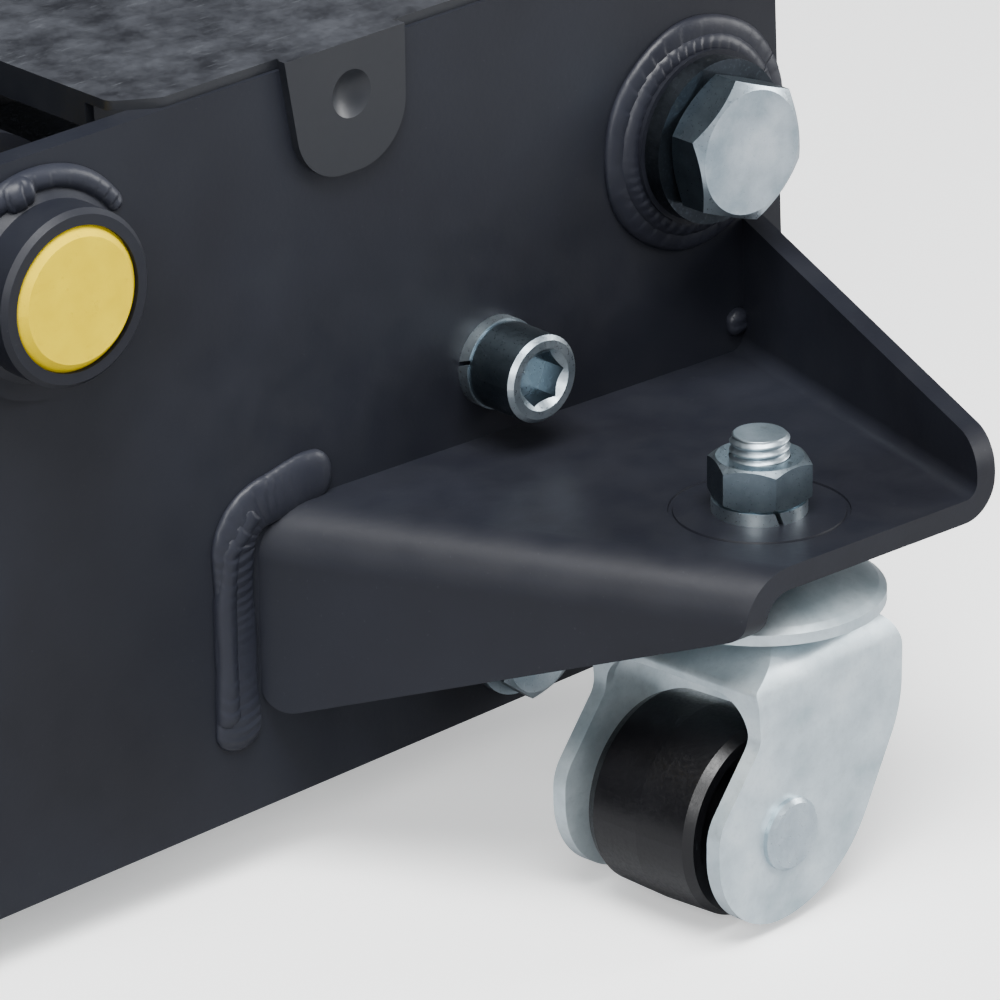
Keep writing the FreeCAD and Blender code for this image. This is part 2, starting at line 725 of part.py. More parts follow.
def ties_and_axle():
    bar, end, past = val("tie_bar / 2"), val("tie_bar_end / 2"), HALF + 1.5
    node("tie_bar", turned("tie_bar", [
        (0, -past), (end, -past), (end, -INSIDE), (bar, -INSIDE), (bar, INSIDE), (end, INSIDE),
        (end, past), (0, past)], (TIE[0], 0, TIE[1]), "y"))
    end = HALF + val("front_wheel_wide + 2 * wheel_side_gap") + 4
    radius = val("front_axle / 2")
    groove = end - 4
    neck, play = radius - val("clip_groove"), 0.05
    inner = groove - val("clip_thick")
    half = [
        (radius, inner - play), (neck, inner - play), (neck, groove + play), (radius, groove + play),
        (radius, end - 1), (radius - 1, end), (0, end)]
    other = [(r, -y) for r, y in reversed(half)]
    node("front_axle", turned("front_axle", other + half, (FRONT_AXLE[0], 0, FRONT_AXLE[1]), "y"))
    spacer = ring_profile(radius, radius + val("spacer_wall"), -INSIDE, INSIDE)
    node("axle_spacer", turned("axle_spacer", spacer, (FRONT_AXLE[0], 0, FRONT_AXLE[1]), "y"))
    ring = turned("axle_clip_ring", ring_profile(neck, radius + val("clip_proud"), 0, val("clip_thick")),
                  (0, 0, 0))
    mouth = 14
    gap = block("axle_clip_gap", 2 * radius, mouth, 6, (radius - 12, -mouth / 2, -2))
    clip = cut("axle_clip_left", ring, gap)
    clip.Placement = Placement(Vector(FRONT_AXLE[0], inner, FRONT_AXLE[1]),
                               AHEAD["y"] * Rotation(Vector(0, 0, 1), 125))
    node("axle_clips", pair("axle_clips", clip))
    inner = val("link_offset - link_eye_thick / 2") - 1
    pin = turned("link_pin_left", [
        (0, inner), ("link_pin / 2", inner), ("link_pin / 2", INSIDE), (0, INSIDE)],
        (LINK_REAR[0], 0, LINK_REAR[1]), "y")
    node("link_rear_pins", pair("link_rear_pins", pin))


# ---------------------------------------------------------------- wheels
def front_wheels():
    radius, wide = val("front_wheel / 2"), val("front_wheel_wide")
    bore = val("front_axle / 2 + running_fit")
    rim, hub, dish = radius - val("wheel_rim"), bore + val("wheel_hub_wall"), val("wheel_dish")
    bevel, set_in = 2, 0.5
    profile = [
        (bore, set_in), (hub, set_in), (hub, dish), (rim, dish), (rim, 0), (radius - bevel, 0),
        (radius, bevel), (radius, wide - bevel), (radius - bevel, wide), (rim, wide),
        (rim, wide - dish), (hub, wide - dish), (hub, wide - set_in), (bore, wide - set_in)]
    start = HALF + val("wheel_side_gap")
    left = turned("left_front_wheel", profile, (FRONT_AXLE[0], start, FRONT_AXLE[1]), "y")
    right = turned("right_front_wheel", profile, (FRONT_AXLE[0], -start, FRONT_AXLE[1]), "-y")
    node("left_front_wheel", left)
    node("right_front_wheel", right)


def caster_frame(side):
    """The caster's own frame: the stud's axis, turned to the way the wheel trails."""
    yaw = Rotation(Vector(0, 0, 1), side * val("caster_yaw_deg"))
    return Placement(Vector(STUD[0], side * STUD[1], 0), yaw)


def caster_top():
    """Height of the fork's crown, just under the race."""
    return SHELF_Z - val("race_rim_below") - 1.2


def caster_top_parts():
    """The stud with its riveted foot under the fork, the race and the nut."""
    top, thick = caster_top(), val("fork_sheet")
    radius, disc = val("stud / 2"), val("race_disc / 2")
    rim_z, under = SHELF_Z - val("race_rim_below"), SHELF_Z - val("sheet_thick")
    stud_top, bevel = SHELF_Z + val("stud_proud"), 1.2
    foot_top = top - thick - 0.3
    stud = turned("caster_stud", [
        (0, foot_top - 2.7), (radius + 3, foot_top - 2.7), (radius + 3, foot_top), (radius, foot_top),
        (radius, stud_top - bevel), (radius - bevel, stud_top), (0, stud_top)], (*STUD, 0))
    node("caster_studs", pair("caster_studs", stud))
    race = turned("caster_race", [
        (radius, under), (9, under), (9, under - 3), (11.5, under - 4.4), (disc - 1.5, rim_z + 3.2),
        (disc, rim_z + 2.2), (disc, rim_z), (disc - 2, rim_z), (disc - 3, rim_z + 1.4),
        (radius + 2, rim_z + 3), (radius, rim_z + 3)], (*STUD, 0))
    node("caster_races", pair("caster_races", race))
    blank = hexagon("caster_nut", "nut_flats", "nut_high", (0, 0, 0), "z", True, val("nut_turn_deg"))
    nut = cut("caster_nut_left", blank, rod("caster_nut_bore", "stud / 2", 30, (0, 0, -5)))
    nut.Placement = aimed((*STUD, SHELF_Z + val("lock_washer_thick")), "z")
    node("caster_nuts", pair("caster_nuts", nut))


def caster_fork():
    """A pressed fork, in the caster's own frame: a domed crown and two legs."""
    axle_z, trail, top = val("caster_wheel / 2"), val("caster_trail"), caster_top()
    half, thick, end = val("fork_width / 2"), val("fork_sheet"), val("fork_end / 2")
    front = trail + 1.8 + end
    foot = axle_z + 0.5 - end
    leg = [
        (-17.8, top, 9), (-17.7, axle_z + 15.8, 24), (trail - 15.2, foot, 28), (front, foot, end),
        (front, axle_z + 6.4, 9), (23.8, axle_z + 21, 5), (24.8, top - 5.5, 1.5), (13.5, top, 10)]
    outside = slab("fork_outside", "XZ_Plane", leg, "fork_width", (0, half, 0))
    ceiling, inner, shoulder = top - thick, half - thick, 9
    deep, low = 200, -20

    def arch(name, wide, height, radius, start, long=deep):
        """A straight run along x with rounded upper corners."""
        return slab(name, "YZ_Plane", [
            (-wide, low), (wide, low), (wide, height, radius), (-wide, height, radius)],
            long, (start, 0, 0))

    dome = common("fork_dome", outside, arch("fork_shoulders", half, top, shoulder, -deep / 2))
    inside = slab("fork_inside", "XZ_Plane", [
        (-14.6, low), (22, low), (22, ceiling - 6, 1.5), (12.5, ceiling, 8), (-14.6, ceiling, 6)],
        "fork_width - 2 * fork_sheet", (0, inner, 0))
    cavity = common("fork_cavity", inside, arch("fork_inner_shoulders", inner, ceiling, 6, -deep / 2))
    brow = arch("fork_front_mouth", inner, ceiling - 4.5, 8, 18, 60)
    nape = arch("fork_rear_mouth", inner, ceiling - 10, 8, -70, 60)
    bearing = rod("fork_bearing", val("stud / 2") + 0.3, 30, (0, 0, top - 15))
    eye = rod("fork_eye", "caster_pin / 2", deep, (trail, -deep / 2, axle_z), "y")
    return cut("caster_fork", dome, cavity, brow, nape, bearing, eye)


def caster_axle():
    """A headed pin through the fork."""
    seat, pin, head = val("fork_width / 2"), val("caster_pin / 2"), val("caster_pin_head / 2")
    face, bevel = seat + val("pin_head_thick"), 0.8
    half = [(pin, seat), (head, seat), (head, face - bevel), (head - bevel, face), (0, face)]
    other = [(r, -y) for r, y in reversed(half)]
    return turned("caster_axle", other + half, (val("caster_trail"), 0, val("caster_wheel / 2")), "y")


def caster_wheel():
    """A barrel-shaped roller, dished at both ends round its hub."""
    wide, wheel = val("caster_tread / 2"), val("caster_wheel / 2")
    bore = val("caster_pin / 2 + running_fit")
    hub = val("fork_width / 2 - fork_sheet") - 0.5
    dish = wide - 3
    half = [
        (wheel - 0.4, wide - 2), (wheel - 1.4, wide), (wheel - 3.6, wide), (wheel - 4.5, dish),
        (bore + 5.5, dish), (bore + 4.5, hub), (bore, hub)]
    other = [(r, -y) for r, y in reversed(half)]
    return turned("caster_wheel_turned", other + [(wheel, 0)] + half,
                  (val("caster_trail"), 0, val("caster_wheel / 2")), "y")


def casters():
    caster_top_parts()
    made = {"fork": caster_fork(), "axle": caster_axle(), "wheel": caster_wheel()}
    for side, word in ((1, "left"), (-1, "right")):
        for what, piece in made.items():
            name = f"{word}_caster_{what}"
            node(name, moved(name, piece, caster_frame(side)))


# ---------------------------------------------------------------- lift arm, saddle and levelling rods
def lift_arm():
    thick, through = val("arm_sheet"), 300
    rear_in, front_in = val("arm_rear_gap / 2"), val("arm_front_gap / 2")
    straight, nose_x = SHAFT[0] + 62, SADDLE_PIN[0] - 26
    far_back, far_on = SHAFT[0] - 80, SADDLE_PIN[0] + 40
    bend = 40
    bore = "shaft_diameter / 2 + running_fit"

    def hole(name, radius, at):
        return rod(name, radius, through, (at[0], -through / 2, at[1]), "y")

    beam = link("arm_beam", SHAFT, "arm_hub / 2", SADDLE_PIN, "arm_nose / 2", through, through / 2)
    lug = link("arm_lug", SHAFT, "arm_hub / 2", LUG_PIN, "lug_end / 2", through, through / 2)
    side_view = cut("arm_side_view", fuse("arm_blank", beam, lug),
                    hole("arm_hub_hole", bore, SHAFT),
                    hole("arm_lug_hole", "lug_pin / 2", LUG_PIN),
                    hole("arm_nose_hole", "saddle_pin / 2", SADDLE_PIN))
    rear_out, front_out = rear_in + thick, front_in + thick
    plan = slab("arm_plan", "XY_Plane", [
        (far_back, rear_in), (straight, rear_in, bend), (nose_x, front_in, bend), (far_on, front_in),
        (far_on, front_out), (nose_x, front_out, bend + thick), (straight, rear_out, bend),
        (far_back, rear_out)], 400, (0, 0, -100))
    node("arm_plates", pair("arm_plates", common("left_arm_plate", side_view, plan)))
    # web between the plates, under their upper edge
    slope = Rotation(Vector(0, 1, 0), ARM_DEG + 0.9)
    web_start, web_end, web_thick = straight - 12, nose_x + 2, 6
    web_plan = slab("arm_web_plan", "XY_Plane", [
        (web_start, -rear_in), (straight, -rear_in, bend), (nose_x, -front_in, bend),
        (web_end, -front_in), (web_end, front_in), (nose_x, front_in, bend),
        (straight, rear_in, bend), (web_start, rear_in)], 400, (0, 0, -100))
    web_sheet = block("arm_web_sheet", 420, 140, web_thick,
                      (SHAFT[0], -70, SHAFT[1] + val("arm_hub / 2") - 10), slope)
    node("arm_web", common("arm_web", web_plan, web_sheet))
    node("arm_hub_tube", turned("arm_hub_tube", [
        (bore, -rear_in), ("arm_hub / 2 - 3", -rear_in), ("arm_hub / 2 - 3", rear_in), (bore, rear_in)],
        (SHAFT[0], 0, SHAFT[1]), "y"))
    pin_in = val("yoke_gap / 2")
    pin = turned("lug_pin_left", [
        (0, pin_in), ("lug_pin / 2", pin_in), ("lug_pin / 2", rear_out), (0, rear_out)],
        (LUG_PIN[0], 0, LUG_PIN[1]), "y")
    node("lug_pins", pair("lug_pins", pin))
    end, radius = front_out + 1.5, val("saddle_pin / 2")
    node("saddle_pin", turned("saddle_pin", [
        (0, -end), (radius - 1, -end), (radius, 1 - end), (radius, end - 1), (radius - 1, end), (0, end)],
        (SADDLE_PIN[0], 0, SADDLE_PIN[1]), "y"))


def saddle():
    half = val("arm_front_gap / 2 - side_play")
    x, z = SADDLE_PIN
    top = val("saddle_top_above_pin")
    head_low, head_high = 6, top - 16
    neck_long, neck_round, head_round, stem_foot = 44, 22, 27, 13
    cheek = link("carrier_cheek", SADDLE_PIN, "carrier_cheek", LINK_FRONT, "carrier_toe", 2 * half, half)
    neck = block("carrier_neck", neck_long, 2 * half, head_high - head_low,
                 (x - neck_long / 2, -half, z + head_low))
    flare = turned("carrier_head", [
        (0, head_high - 8), (neck_round, head_high - 8), (head_round, head_high - 4),
        (head_round, head_high), (0, head_high)], (x, 0, z))
    through = 200
    carrier = cut("saddle_carrier", fuse("carrier_blank", cheek, neck, flare),
                  rod("carrier_pin_hole", "saddle_pin / 2 + running_fit", through, (x, -through / 2, z), "y"),
                  rod("carrier_link_hole", "link_pin / 2", through,
                      (LINK_FRONT[0], -through / 2, LINK_FRONT[1]), "y"),
                  rod("carrier_stem_hole", "saddle_stem / 2 + running_fit", 60,
                      (x, 0, z + stem_foot - 1.5)))
    node("saddle_carrier", carrier)
    outer = val("link_offset + link_eye_thick / 2") + 1
    pin = turned("link_front_pin", [
        (0, -outer), ("link_pin / 2", -outer), ("link_pin / 2", outer), (0, outer)],
        (LINK_FRONT[0], 0, LINK_FRONT[1]), "y")
    node("link_front_pin", pin)
    bottom, rim, stem = head_high + 0.4, val("saddle_diameter / 2"), val("saddle_stem / 2")
    dish = turned("saddle_dish", [
        (0, stem_foot), (stem, stem_foot), (stem, bottom), (rim - 16, bottom), (rim - 1, bottom + 5.5),
        (rim, bottom + 7), (rim, top - 1), (rim - 1, top), (rim - 7, top), (rim - 9, bottom + 8),
        (0, bottom + 7)], (x, 0, z))
    wide, deep, long = val("notch_wide"), val("notch_deep"), 2 * rim + 10
    notches = []
    for i in range(4):
        turn = Rotation(Vector(0, 0, 1), 45 * i + 22.5)
        corner = turn.multVec(Vector(-long / 2, -wide / 2, 0))
        notches.append(block(f"saddle_notch_{i}", long, "notch_wide", 12,
                             (x + corner.x, corner.y, z + top - deep), turn))
    node("saddle", cut("saddle", dish, *notches))


def level_rods():
    y = val("link_offset")
    reach = val("link_eye / 2") - 2
    run = Vector(LINK_FRONT[0] - LINK_REAR[0], 0, LINK_FRONT[1] - LINK_REAR[1])
    heading = Vector(run).normalize()
    start = Vector(LINK_REAR[0], y, LINK_REAR[1]) + heading * reach
    bar = rod("level_rod_bar", "link_rod / 2", run.Length - 2 * reach, tuple(start),
              Rotation(Vector(0, 0, 1), heading))
    half = val("link_eye_thick / 2")
    ends = (LINK_REAR, LINK_FRONT)
    eyes = [rod(f"level_rod_eye_{i}", "link_eye / 2", "link_eye_thick", (at[0], y - half, at[1]), "y")
            for i, at in enumerate(ends)]
    holes = [rod(f"level_rod_hole_{i}", "link_pin / 2 + running_fit", 20, (at[0], y - 10, at[1]), "y")
             for i, at in enumerate(ends)]
    left = cut("left_level_rod", fuse("level_rod_blank", bar, *eyes), *holes)
    node("level_rods", pair("level_rods", left))


# ---------------------------------------------------------------- power unit
PUMP_LEAN = math.radians(val("pump_axis_deg"))
PUMP_AXIS = Vector(math.cos(PUMP_LEAN), 0, math.sin(PUMP_LEAN))
PUMP_TURN = Rotation(Vector(0, 0, 1), PUMP_AXIS)


def pump_point(size):
    """A point on the pump's axis, measured from the handle pivot."""
    along = PUMP_AXIS * val(size)
    return (PIVOT[0] + along.x, val("pump_offset"), PIVOT[1] + along.z)


def sideways(name, radius, length, at, start):
    """A round bar on each side of the middle, pointing outwards from y = start."""
    x, z = at
    return [
        rod(name + "_left", radius, length, (x, start, z), "y"),
        rod(name + "_right", radius, length, (x, -start, z), "-y"),
    ]


def power_unit():
    rear, front = fwd("block_rear_dx"), fwd("block_front_dx")
    half, cap = val("block_width / 2"), (SCREW_X, SCREW_Z)
    low, high = RAM_Z - 40, SCREW_Z + 11
    housing = block("pump_housing", front - rear, 2 * half, high - low, (rear, -half, low))
    foot_wide = 32
    foot = block("pump_foot", 44, foot_wide, 28, (rear - 42, -foot_wide / 2, RAM_Z - 36))
    stand_off = INSIDE - half + 1
    bosses = sideways("unit_boss_high", 15, stand_off, cap, half - 1)
    bosses += sideways("unit_boss_low", 11.5, stand_off, UNIT_BOLT, half - 1)
    shelf, deep = val("pump_boss_start"), 26
    pump_boss = rod("pump_boss", 12, deep, pump_point("pump_boss_start"), PUMP_TURN)
    solid = fuse("pump_block_blank", housing, foot, pump_boss, *bosses)
    tools = [
        rod("pump_spot_face", 17, shelf, pump_point(0), PUMP_TURN),
        rod("pump_thread", "barrel_thread / 2", deep, pump_point(shelf - 1), PUMP_TURN),
        rod("cylinder_seat", "cylinder_bore / 2", deep, (front - deep, 0, RAM_Z), "x"),
        rod("valve_tap", "valve_stem / 2", 20, (PIVOT[0], 0, SPRING_Z - 20)),
    ]
    cap_end = HALF + val("lock_washer_thick - cap_screw_reach")
    bolt_end = HALF + val("unit_washer_thick - unit_bolt_reach")
    tools += sideways("unit_tap_high", "cap_screw / 2", 60, cap, cap_end)
    tools += sideways("unit_tap_low", "unit_bolt / 2", 60, UNIT_BOLT, bolt_end)
    anchor_stem, anchor_deep = 3, 10
    tools += sideways("spring_tap", anchor_stem, 12, (rear + 8, SPRING_Z), half - anchor_deep)
    node("pump_block", cut("pump_block", solid, *tools))
    # cylinder, tank and gland nut
    length, at_front = val("tank_length"), (front, 0, RAM_Z)
    bore, skin = val("cylinder_bore / 2"), val("cylinder_outer / 2")
    node("ram_cylinder", turned("ram_cylinder", ring_profile(bore, skin, 0, length), at_front, "x"))
    tank = val("tank / 2")
    tube = turned("reservoir_skin", ring_profile(tank - val("tank_wall"), tank, 0, length), at_front, "x")
    filler_x, plug = front + length * 0.55, 4
    hole = rod("filler_hole", plug, 20, (filler_x, 0, RAM_Z + tank - 10))
    node("reservoir_tube", cut("reservoir_tube", tube, hole))
    nut = val("gland_length")
    opening = val("ram / 2 + running_fit")
    gland = turned("gland_body", [
        (opening, 0), (tank, 0), (tank, nut - 2), (tank - 2, nut), (opening, nut)], (0, 0, 0))
    slot_wide, slots = 8, []
    for i in range(4):
        turn = Rotation(Vector(0, 0, 1), 90 * i + 45)
        corner = turn.multVec(Vector(tank - 5, -slot_wide / 2, nut / 2))
        slots.append(block(f"gland_slot_{i}", slot_wide, slot_wide, nut, tuple(corner), turn))
    nut_piece = cut("gland_nut", gland, *slots)
    nut_piece.Placement = aimed((front + length, 0, RAM_Z), "x")
    node("gland_nut", nut_piece)
    # small fittings
    flange, high = 7, 5
    node("filler_plug", turned("filler_plug", [
        (0, -6), (plug, -6), (plug, 0), (flange, 0), (flange, high - 1.5), (flange - 1.5, high), (0, high)],
        (filler_x, 0, RAM_Z + tank)))
    head, neck_end, face = 5, 12, 14
    anchor = turned("spring_anchor", [
        (0, -anchor_deep), (anchor_stem, -anchor_deep), (anchor_stem, neck_end), (head, neck_end),
        (head, face), (0, face)], (rear + 8, half, SPRING_Z), "y")
    node("spring_anchors", pair("spring_anchors", anchor))
    bore, first, last = "pump_piston / 2 + running_fit", val("pump_barrel_start"), val("pump_barrel_end")
    node("pump_barrel", turned("pump_barrel", [
        (bore, first), ("pump_barrel / 2", first), ("pump_barrel / 2", shelf), ("barrel_thread / 2", shelf),
        ("barrel_thread / 2", last), (bore, last)], pump_point(0), PUMP_TURN))


def ram():
    front = fwd("block_front_dx") + val("tank_length + gland_length") + 8
    radius, piston = val("ram / 2"), val("cylinder_bore / 2 - running_fit")
    start, piston_long = fwd("block_front_dx") + 2, 14
    head, neck = val("yoke_head"), radius - 4
    end = front + head + 10
    node("ram", turned("ram", [
        (0, start), (piston, start), (piston, start + piston_long), (radius, start + piston_long),
        (radius, front), (neck, front), (neck, end), (0, end)], (0, 0, RAM_Z), "x"))
    half, thick, high = val("yoke_gap / 2"), val("yoke_sheet"), val("yoke_high")
    pin, through = val("lug_pin / 2"), 200
    low = (LUG_PIN[1] + LUG_LOWEST - high) / 2
    rear = LUG_PIN[0] - 15
    cross = block("yoke_cross", head, 2 * (half + thick), "yoke_high", (front, -half - thick, low))
    arms = [block(f"yoke_arm_{word}", front + head - rear, thick, "yoke_high", (rear, y, low))
            for word, y in (("left", half), ("right", -half - thick))]
    play = pin + val("yoke_slot_play / 2")
    slot_rear, slot_front = LUG_PIN[0] - play, LUG_PIN[0] + play
    slot_low, slot_high = LUG_LOWEST - pin - 0.6, LUG_PIN[1] + pin + 0.6
    slot = slab("yoke_slot", "XZ_Plane", [
        (slot_rear, slot_low, pin), (slot_front, slot_low, pin), (slot_front, slot_high, pin),
        (slot_rear, slot_high, pin)], through, (0, through / 2, 0))
    spigot = rod("yoke_bore", neck, 60, (front - 20, 0, RAM_Z), "x")
    hooks = rod("yoke_hook_hole", 2.5, through, (rear + 4.5, -through / 2, SPRING_Z), "y")
    node("ram_yoke", cut("ram_yoke", fuse("yoke_blank", cross, *arms), slot, spigot, hooks))
    nut = cut("ram_nut", hexagon("ram_nut_blank", "pivot_flats + 3", 8, (0, 0, 0), "z"),
              rod("ram_nut_bore", neck, 30, (0, 0, -5)))
    nut.Placement = aimed((front + head, 0, RAM_Z), "x")
    node("ram_nut", nut)
    # return springs, drawn as sleeves between the block and the yoke
    first, last = fwd("block_rear_dx") + 14, rear - 2
    inner, outer, out_y = 3.6, 5.4, half + 3.5
    sleeve = turned("left_return_spring", ring_profile(inner, outer, first, last), (0, out_y, SPRING_Z), "x")
    node("return_springs", pair("return_springs", sleeve))


def pump_piston():
    top = val("cam_start + cam_clearance")
    under, end = top + val("piston_cap_thick"), val("pump_piston_end")
    node("pump_piston", turned("pump_piston", [
        (0, top), ("piston_cap / 2", top), ("piston_cap / 2", under), ("pump_piston / 2", under),
        ("pump_piston / 2", end), (0, end)], pump_point(0), PUMP_TURN))
    inner, outer, gap = val("pump_piston / 2") + 1, val("pump_piston / 2") + 3, 0.3
    node("pump_spring", turned("pump_spring", ring_profile(
        inner, outer, under + gap, val("pump_barrel_start") - gap), pump_point(0), PUMP_TURN))


# ---------------------------------------------------------------- handle
def cam_outline():
    """A cam whose flat follower moves evenly with the handle, as an involute."""
    start, rise = val("cam_start"), val("cam_rise")
    travel = math.radians(val("handle_travel_deg"))
    points = []
    for step in range(13):
        swing = travel * step / 12
        angle = PUMP_LEAN - swing
        reach = start + rise * swing
        normal = Vector(math.cos(angle), math.sin(angle), 0)
        side = Vector(math.sin(angle), -math.cos(angle), 0)
        points.append(normal * reach + side * rise)
    return points


def pump_cam():
    x, z = PIVOT
    curve = cam_outline()
    back = Vector(-4, 10, 0)
    corners = curve + [back]
    edges = [Part.LineSegment(a, b) for a, b in zip(corners, corners[1:] + corners[:1])]
    cam = doc.addObject("PartDesign::Body", "pump_cam_body")
    sketch = cam.newObject("Sketcher::SketchObject", "pump_cam_sketch")
    base = next(f for f in cam.Origin.OriginFeatures if f.Role == "XZ_Plane")
    sketch.AttachmentSupport = [(base, "")]
    sketch.MapMode = "FlatFace"
    sketch.addGeometry(edges, False)
    thick, middle = 12, val("pump_offset")
    pad = cam.newObject("PartDesign::Pad", "pump_cam_pad")
    pad.Profile = sketch
    pad.Length = thick
    cam.Placement = Placement(Vector(x, middle + thick / 2, z), Rotation())
    eye = rod("pump_cam_hole", "trunnion / 2", 40, (x, middle - 20, z), "y")
    node("pump_cam", cut("pump_cam", cam, eye))


def handle_socket():
    x, z = PIVOT
    bore, skin = val("socket_bore / 2"), val("socket_bore / 2 + socket_wall")
    bottom, top = 6, val("socket_length")
    tube = rod("socket_tube", skin, top - bottom, (x, 0, z + bottom))
    ear, ear_top = val("trunnion / 2") + 5, z + 44
    inner, outer = val("ear_inner"), val("ear_inner + ear_thick")
    ears = [slab(f"socket_ear_{word}", "XZ_Plane", [
        (x - ear, z - ear, ear - 0.5), (x + ear, z - ear, ear - 0.5), (x + ear - 3, ear_top, 6),
        (x - ear + 3, ear_top, 6)], "ear_thick", (0, y, 0))
        for word, y in (("left", outer), ("right", -inner))]
    root = outer - 0.9
    stubs = sideways("socket_stub", "trunnion / 2", INSIDE - val("side_play") - root, PIVOT, root)
    clamp_z, thread = z + top - val("clamp_below_top"), val("clamp_thread / 2")
    collar = rod("socket_clamp_boss", 9, 12, (x + skin - 1, 0, clamp_z), "x")
    blank = fuse("socket_blank", tube, *ears, *stubs, collar)
    lip = bore - 4
    hollow = turned("socket_hollow", [
        (0, 3), (lip, 3), (lip, 9), (bore, 9), (bore, 25), (lip, 25), (lip, 30), (bore, 30),
        (bore, top + 5), (0, top + 5)], (x, 0, z))
    holes = sideways("socket_pivot_hole", "pivot_bolt / 2 + running_fit", 60, PIVOT,
                     INSIDE - val("pivot_engagement") - 1)
    tap = rod("socket_clamp_tap", thread, 40, (x, 0, clamp_z), "x")
    node("handle_socket", cut("handle_socket", blank, hollow, tap, *holes))
    tip, end = bore - 1.2, skin + 22
    stem = turned("clamp_stem", [
        (0, tip), (thread - 1, tip), (thread, bore), (thread, end), (0, end)], (x, 0, clamp_z), "x")
    bar_long, bar = 34, 3
    wing = rod("clamp_bar", bar, bar_long, (x + end - bar, -bar_long / 2, clamp_z), "y")
    node("clamp_screw", fuse("clamp_screw", stem, wing))


def handle():
    x, z = PIVOT
    outer, wall = val("handle_tube / 2"), val("handle_wall")
    inner, low = outer - wall, z + val("handle_seat")
    groove = z + val("socket_length - clamp_below_top")
    joint = low + val("lower_handle")
    top = joint + val("upper_handle")
    flat, waist = 5.5, outer - 1.3
    node("lower_handle", turned("lower_handle", [
        (inner, low), (outer, low), (outer, groove - flat - 0.5), (waist, groove - flat),
        (waist, groove + flat), (outer, groove + flat + 0.5), (outer, joint), (inner, joint)], (x, 0, 0)))
    spigot = inner - 0.1
    neck, foot = spigot - 2.2, joint - val("spigot_length")
    node("upper_handle", turned("upper_handle", [
        (neck, foot), (spigot, foot), (spigot, joint), (outer, joint + 0.2), (outer, top),
        (inner, top), (inner, joint + 6), (neck, joint + 2)], (x, 0, 0)))
    grip, length, cap, gap = val("grip_outer / 2"), val("grip_length"), top + 4, 0.05
    node("hand_grip", turned("hand_grip", [
        (outer, top - length), (grip, top - length), (grip + 1.5, top - length + 3),
        (grip, top - length + 10), (grip - 1, top - length / 2), (grip, top - 8), (grip, cap - 3),
        (grip - 3, cap), (0, cap), (0, top + gap), (outer, top + gap)], (x, 0, 0)))
    ball, stem, plug = 5.2, 4.5, low + 6
    node("release_driver", turned("release_driver", [
        (0, z - ball), (3.5, z - 4), (ball, z), (stem, z + 4), (stem, low), (inner, low), (inner, plug),
        (0, plug)], (x, 0, 0)))


def release_valve():
    x, z = PIVOT
    stem = val("valve_stem / 2 - running_fit")
    collar, rod_round, cup, cup_top = 9, 5, 8, z - 6.5
    seat, tip = SPRING_Z + 0.3, SPRING_Z - 15
    node("release_spindle", turned("release_spindle", [
        (0, tip), (stem, tip), (stem, seat), (collar, seat), (collar, seat + 7), (rod_round, seat + 9),
        (rod_round, cup_top - 8), (cup, cup_top - 5), (cup, cup_top), (cup - 2, cup_top),
        (0, cup_top - 3)], (x, 0, 0)))


BUILDERS = (
    side_plates, caster_brackets, main_shaft, pivot_fasteners, unit_fasteners, top_cover, ties_and_axle,
    front_wheels, casters, lift_arm, saddle, level_rods, power_unit, ram, pump_piston, pump_cam,
    handle_socket, handle, release_valve,
)
for build in BUILDERS:
    build()
doc.recompute()

faults = [f"{o.Name}: {o.State}" for o in doc.Objects if {"Invalid", "Error"} & set(o.State)]
for name, piece in nodes.items():
    shape = piece.Shape
    if shape.isNull() or not shape.isValid() or not shape.Solids:
        faults.append(f"{name}: shape")
if faults:
    raise SystemExit("not built: " + "; ".join(faults))

os.makedirs("parts", exist_ok=True)
for name, piece in nodes.items():
    piece.Label = name
    piece.Shape.exportStep(f"parts/{name}.step")
print(len(nodes), "nodes")
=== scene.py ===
import json
import math

import bmesh
import bpy
from mathutils import Matrix, Vector


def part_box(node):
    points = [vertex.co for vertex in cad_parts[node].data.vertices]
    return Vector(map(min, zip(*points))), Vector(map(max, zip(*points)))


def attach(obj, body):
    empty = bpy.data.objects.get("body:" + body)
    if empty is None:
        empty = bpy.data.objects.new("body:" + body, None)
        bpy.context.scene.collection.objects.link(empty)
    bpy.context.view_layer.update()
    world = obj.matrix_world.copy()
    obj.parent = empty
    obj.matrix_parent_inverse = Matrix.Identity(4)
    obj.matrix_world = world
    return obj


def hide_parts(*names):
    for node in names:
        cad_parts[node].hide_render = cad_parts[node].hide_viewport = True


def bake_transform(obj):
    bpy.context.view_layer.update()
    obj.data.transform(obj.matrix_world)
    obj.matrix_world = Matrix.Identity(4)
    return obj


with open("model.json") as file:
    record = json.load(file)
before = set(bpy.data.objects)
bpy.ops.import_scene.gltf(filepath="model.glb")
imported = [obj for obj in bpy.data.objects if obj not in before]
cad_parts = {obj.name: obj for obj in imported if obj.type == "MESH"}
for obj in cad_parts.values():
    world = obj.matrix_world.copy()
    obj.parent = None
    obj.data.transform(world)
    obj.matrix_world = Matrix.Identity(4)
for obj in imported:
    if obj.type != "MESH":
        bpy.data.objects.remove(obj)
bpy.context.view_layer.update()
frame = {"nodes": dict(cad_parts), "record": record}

MM = 0.001
SIDES = ((1, "left"), (-1, "right"))


# ------------------------------------------------------------------ places, read from the frame
def low(node):
    return Vector(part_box(node)[0])


def high(node):
    return Vector(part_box(node)[1])


def middle(node):
    return (low(node) + high(node)) / 2


PLATE_FACE = high("left_side_plate").y
SCREW = middle("unit_cap_screws")
SHAFT = middle("main_shaft")
PIVOT = middle("pivot_bolts")
STUD_X = middle("caster_races").x
STUD_Y = high("caster_races").y - (high("caster_races").x - low("caster_races").x) / 2
STUD_TOP = high("caster_studs").z


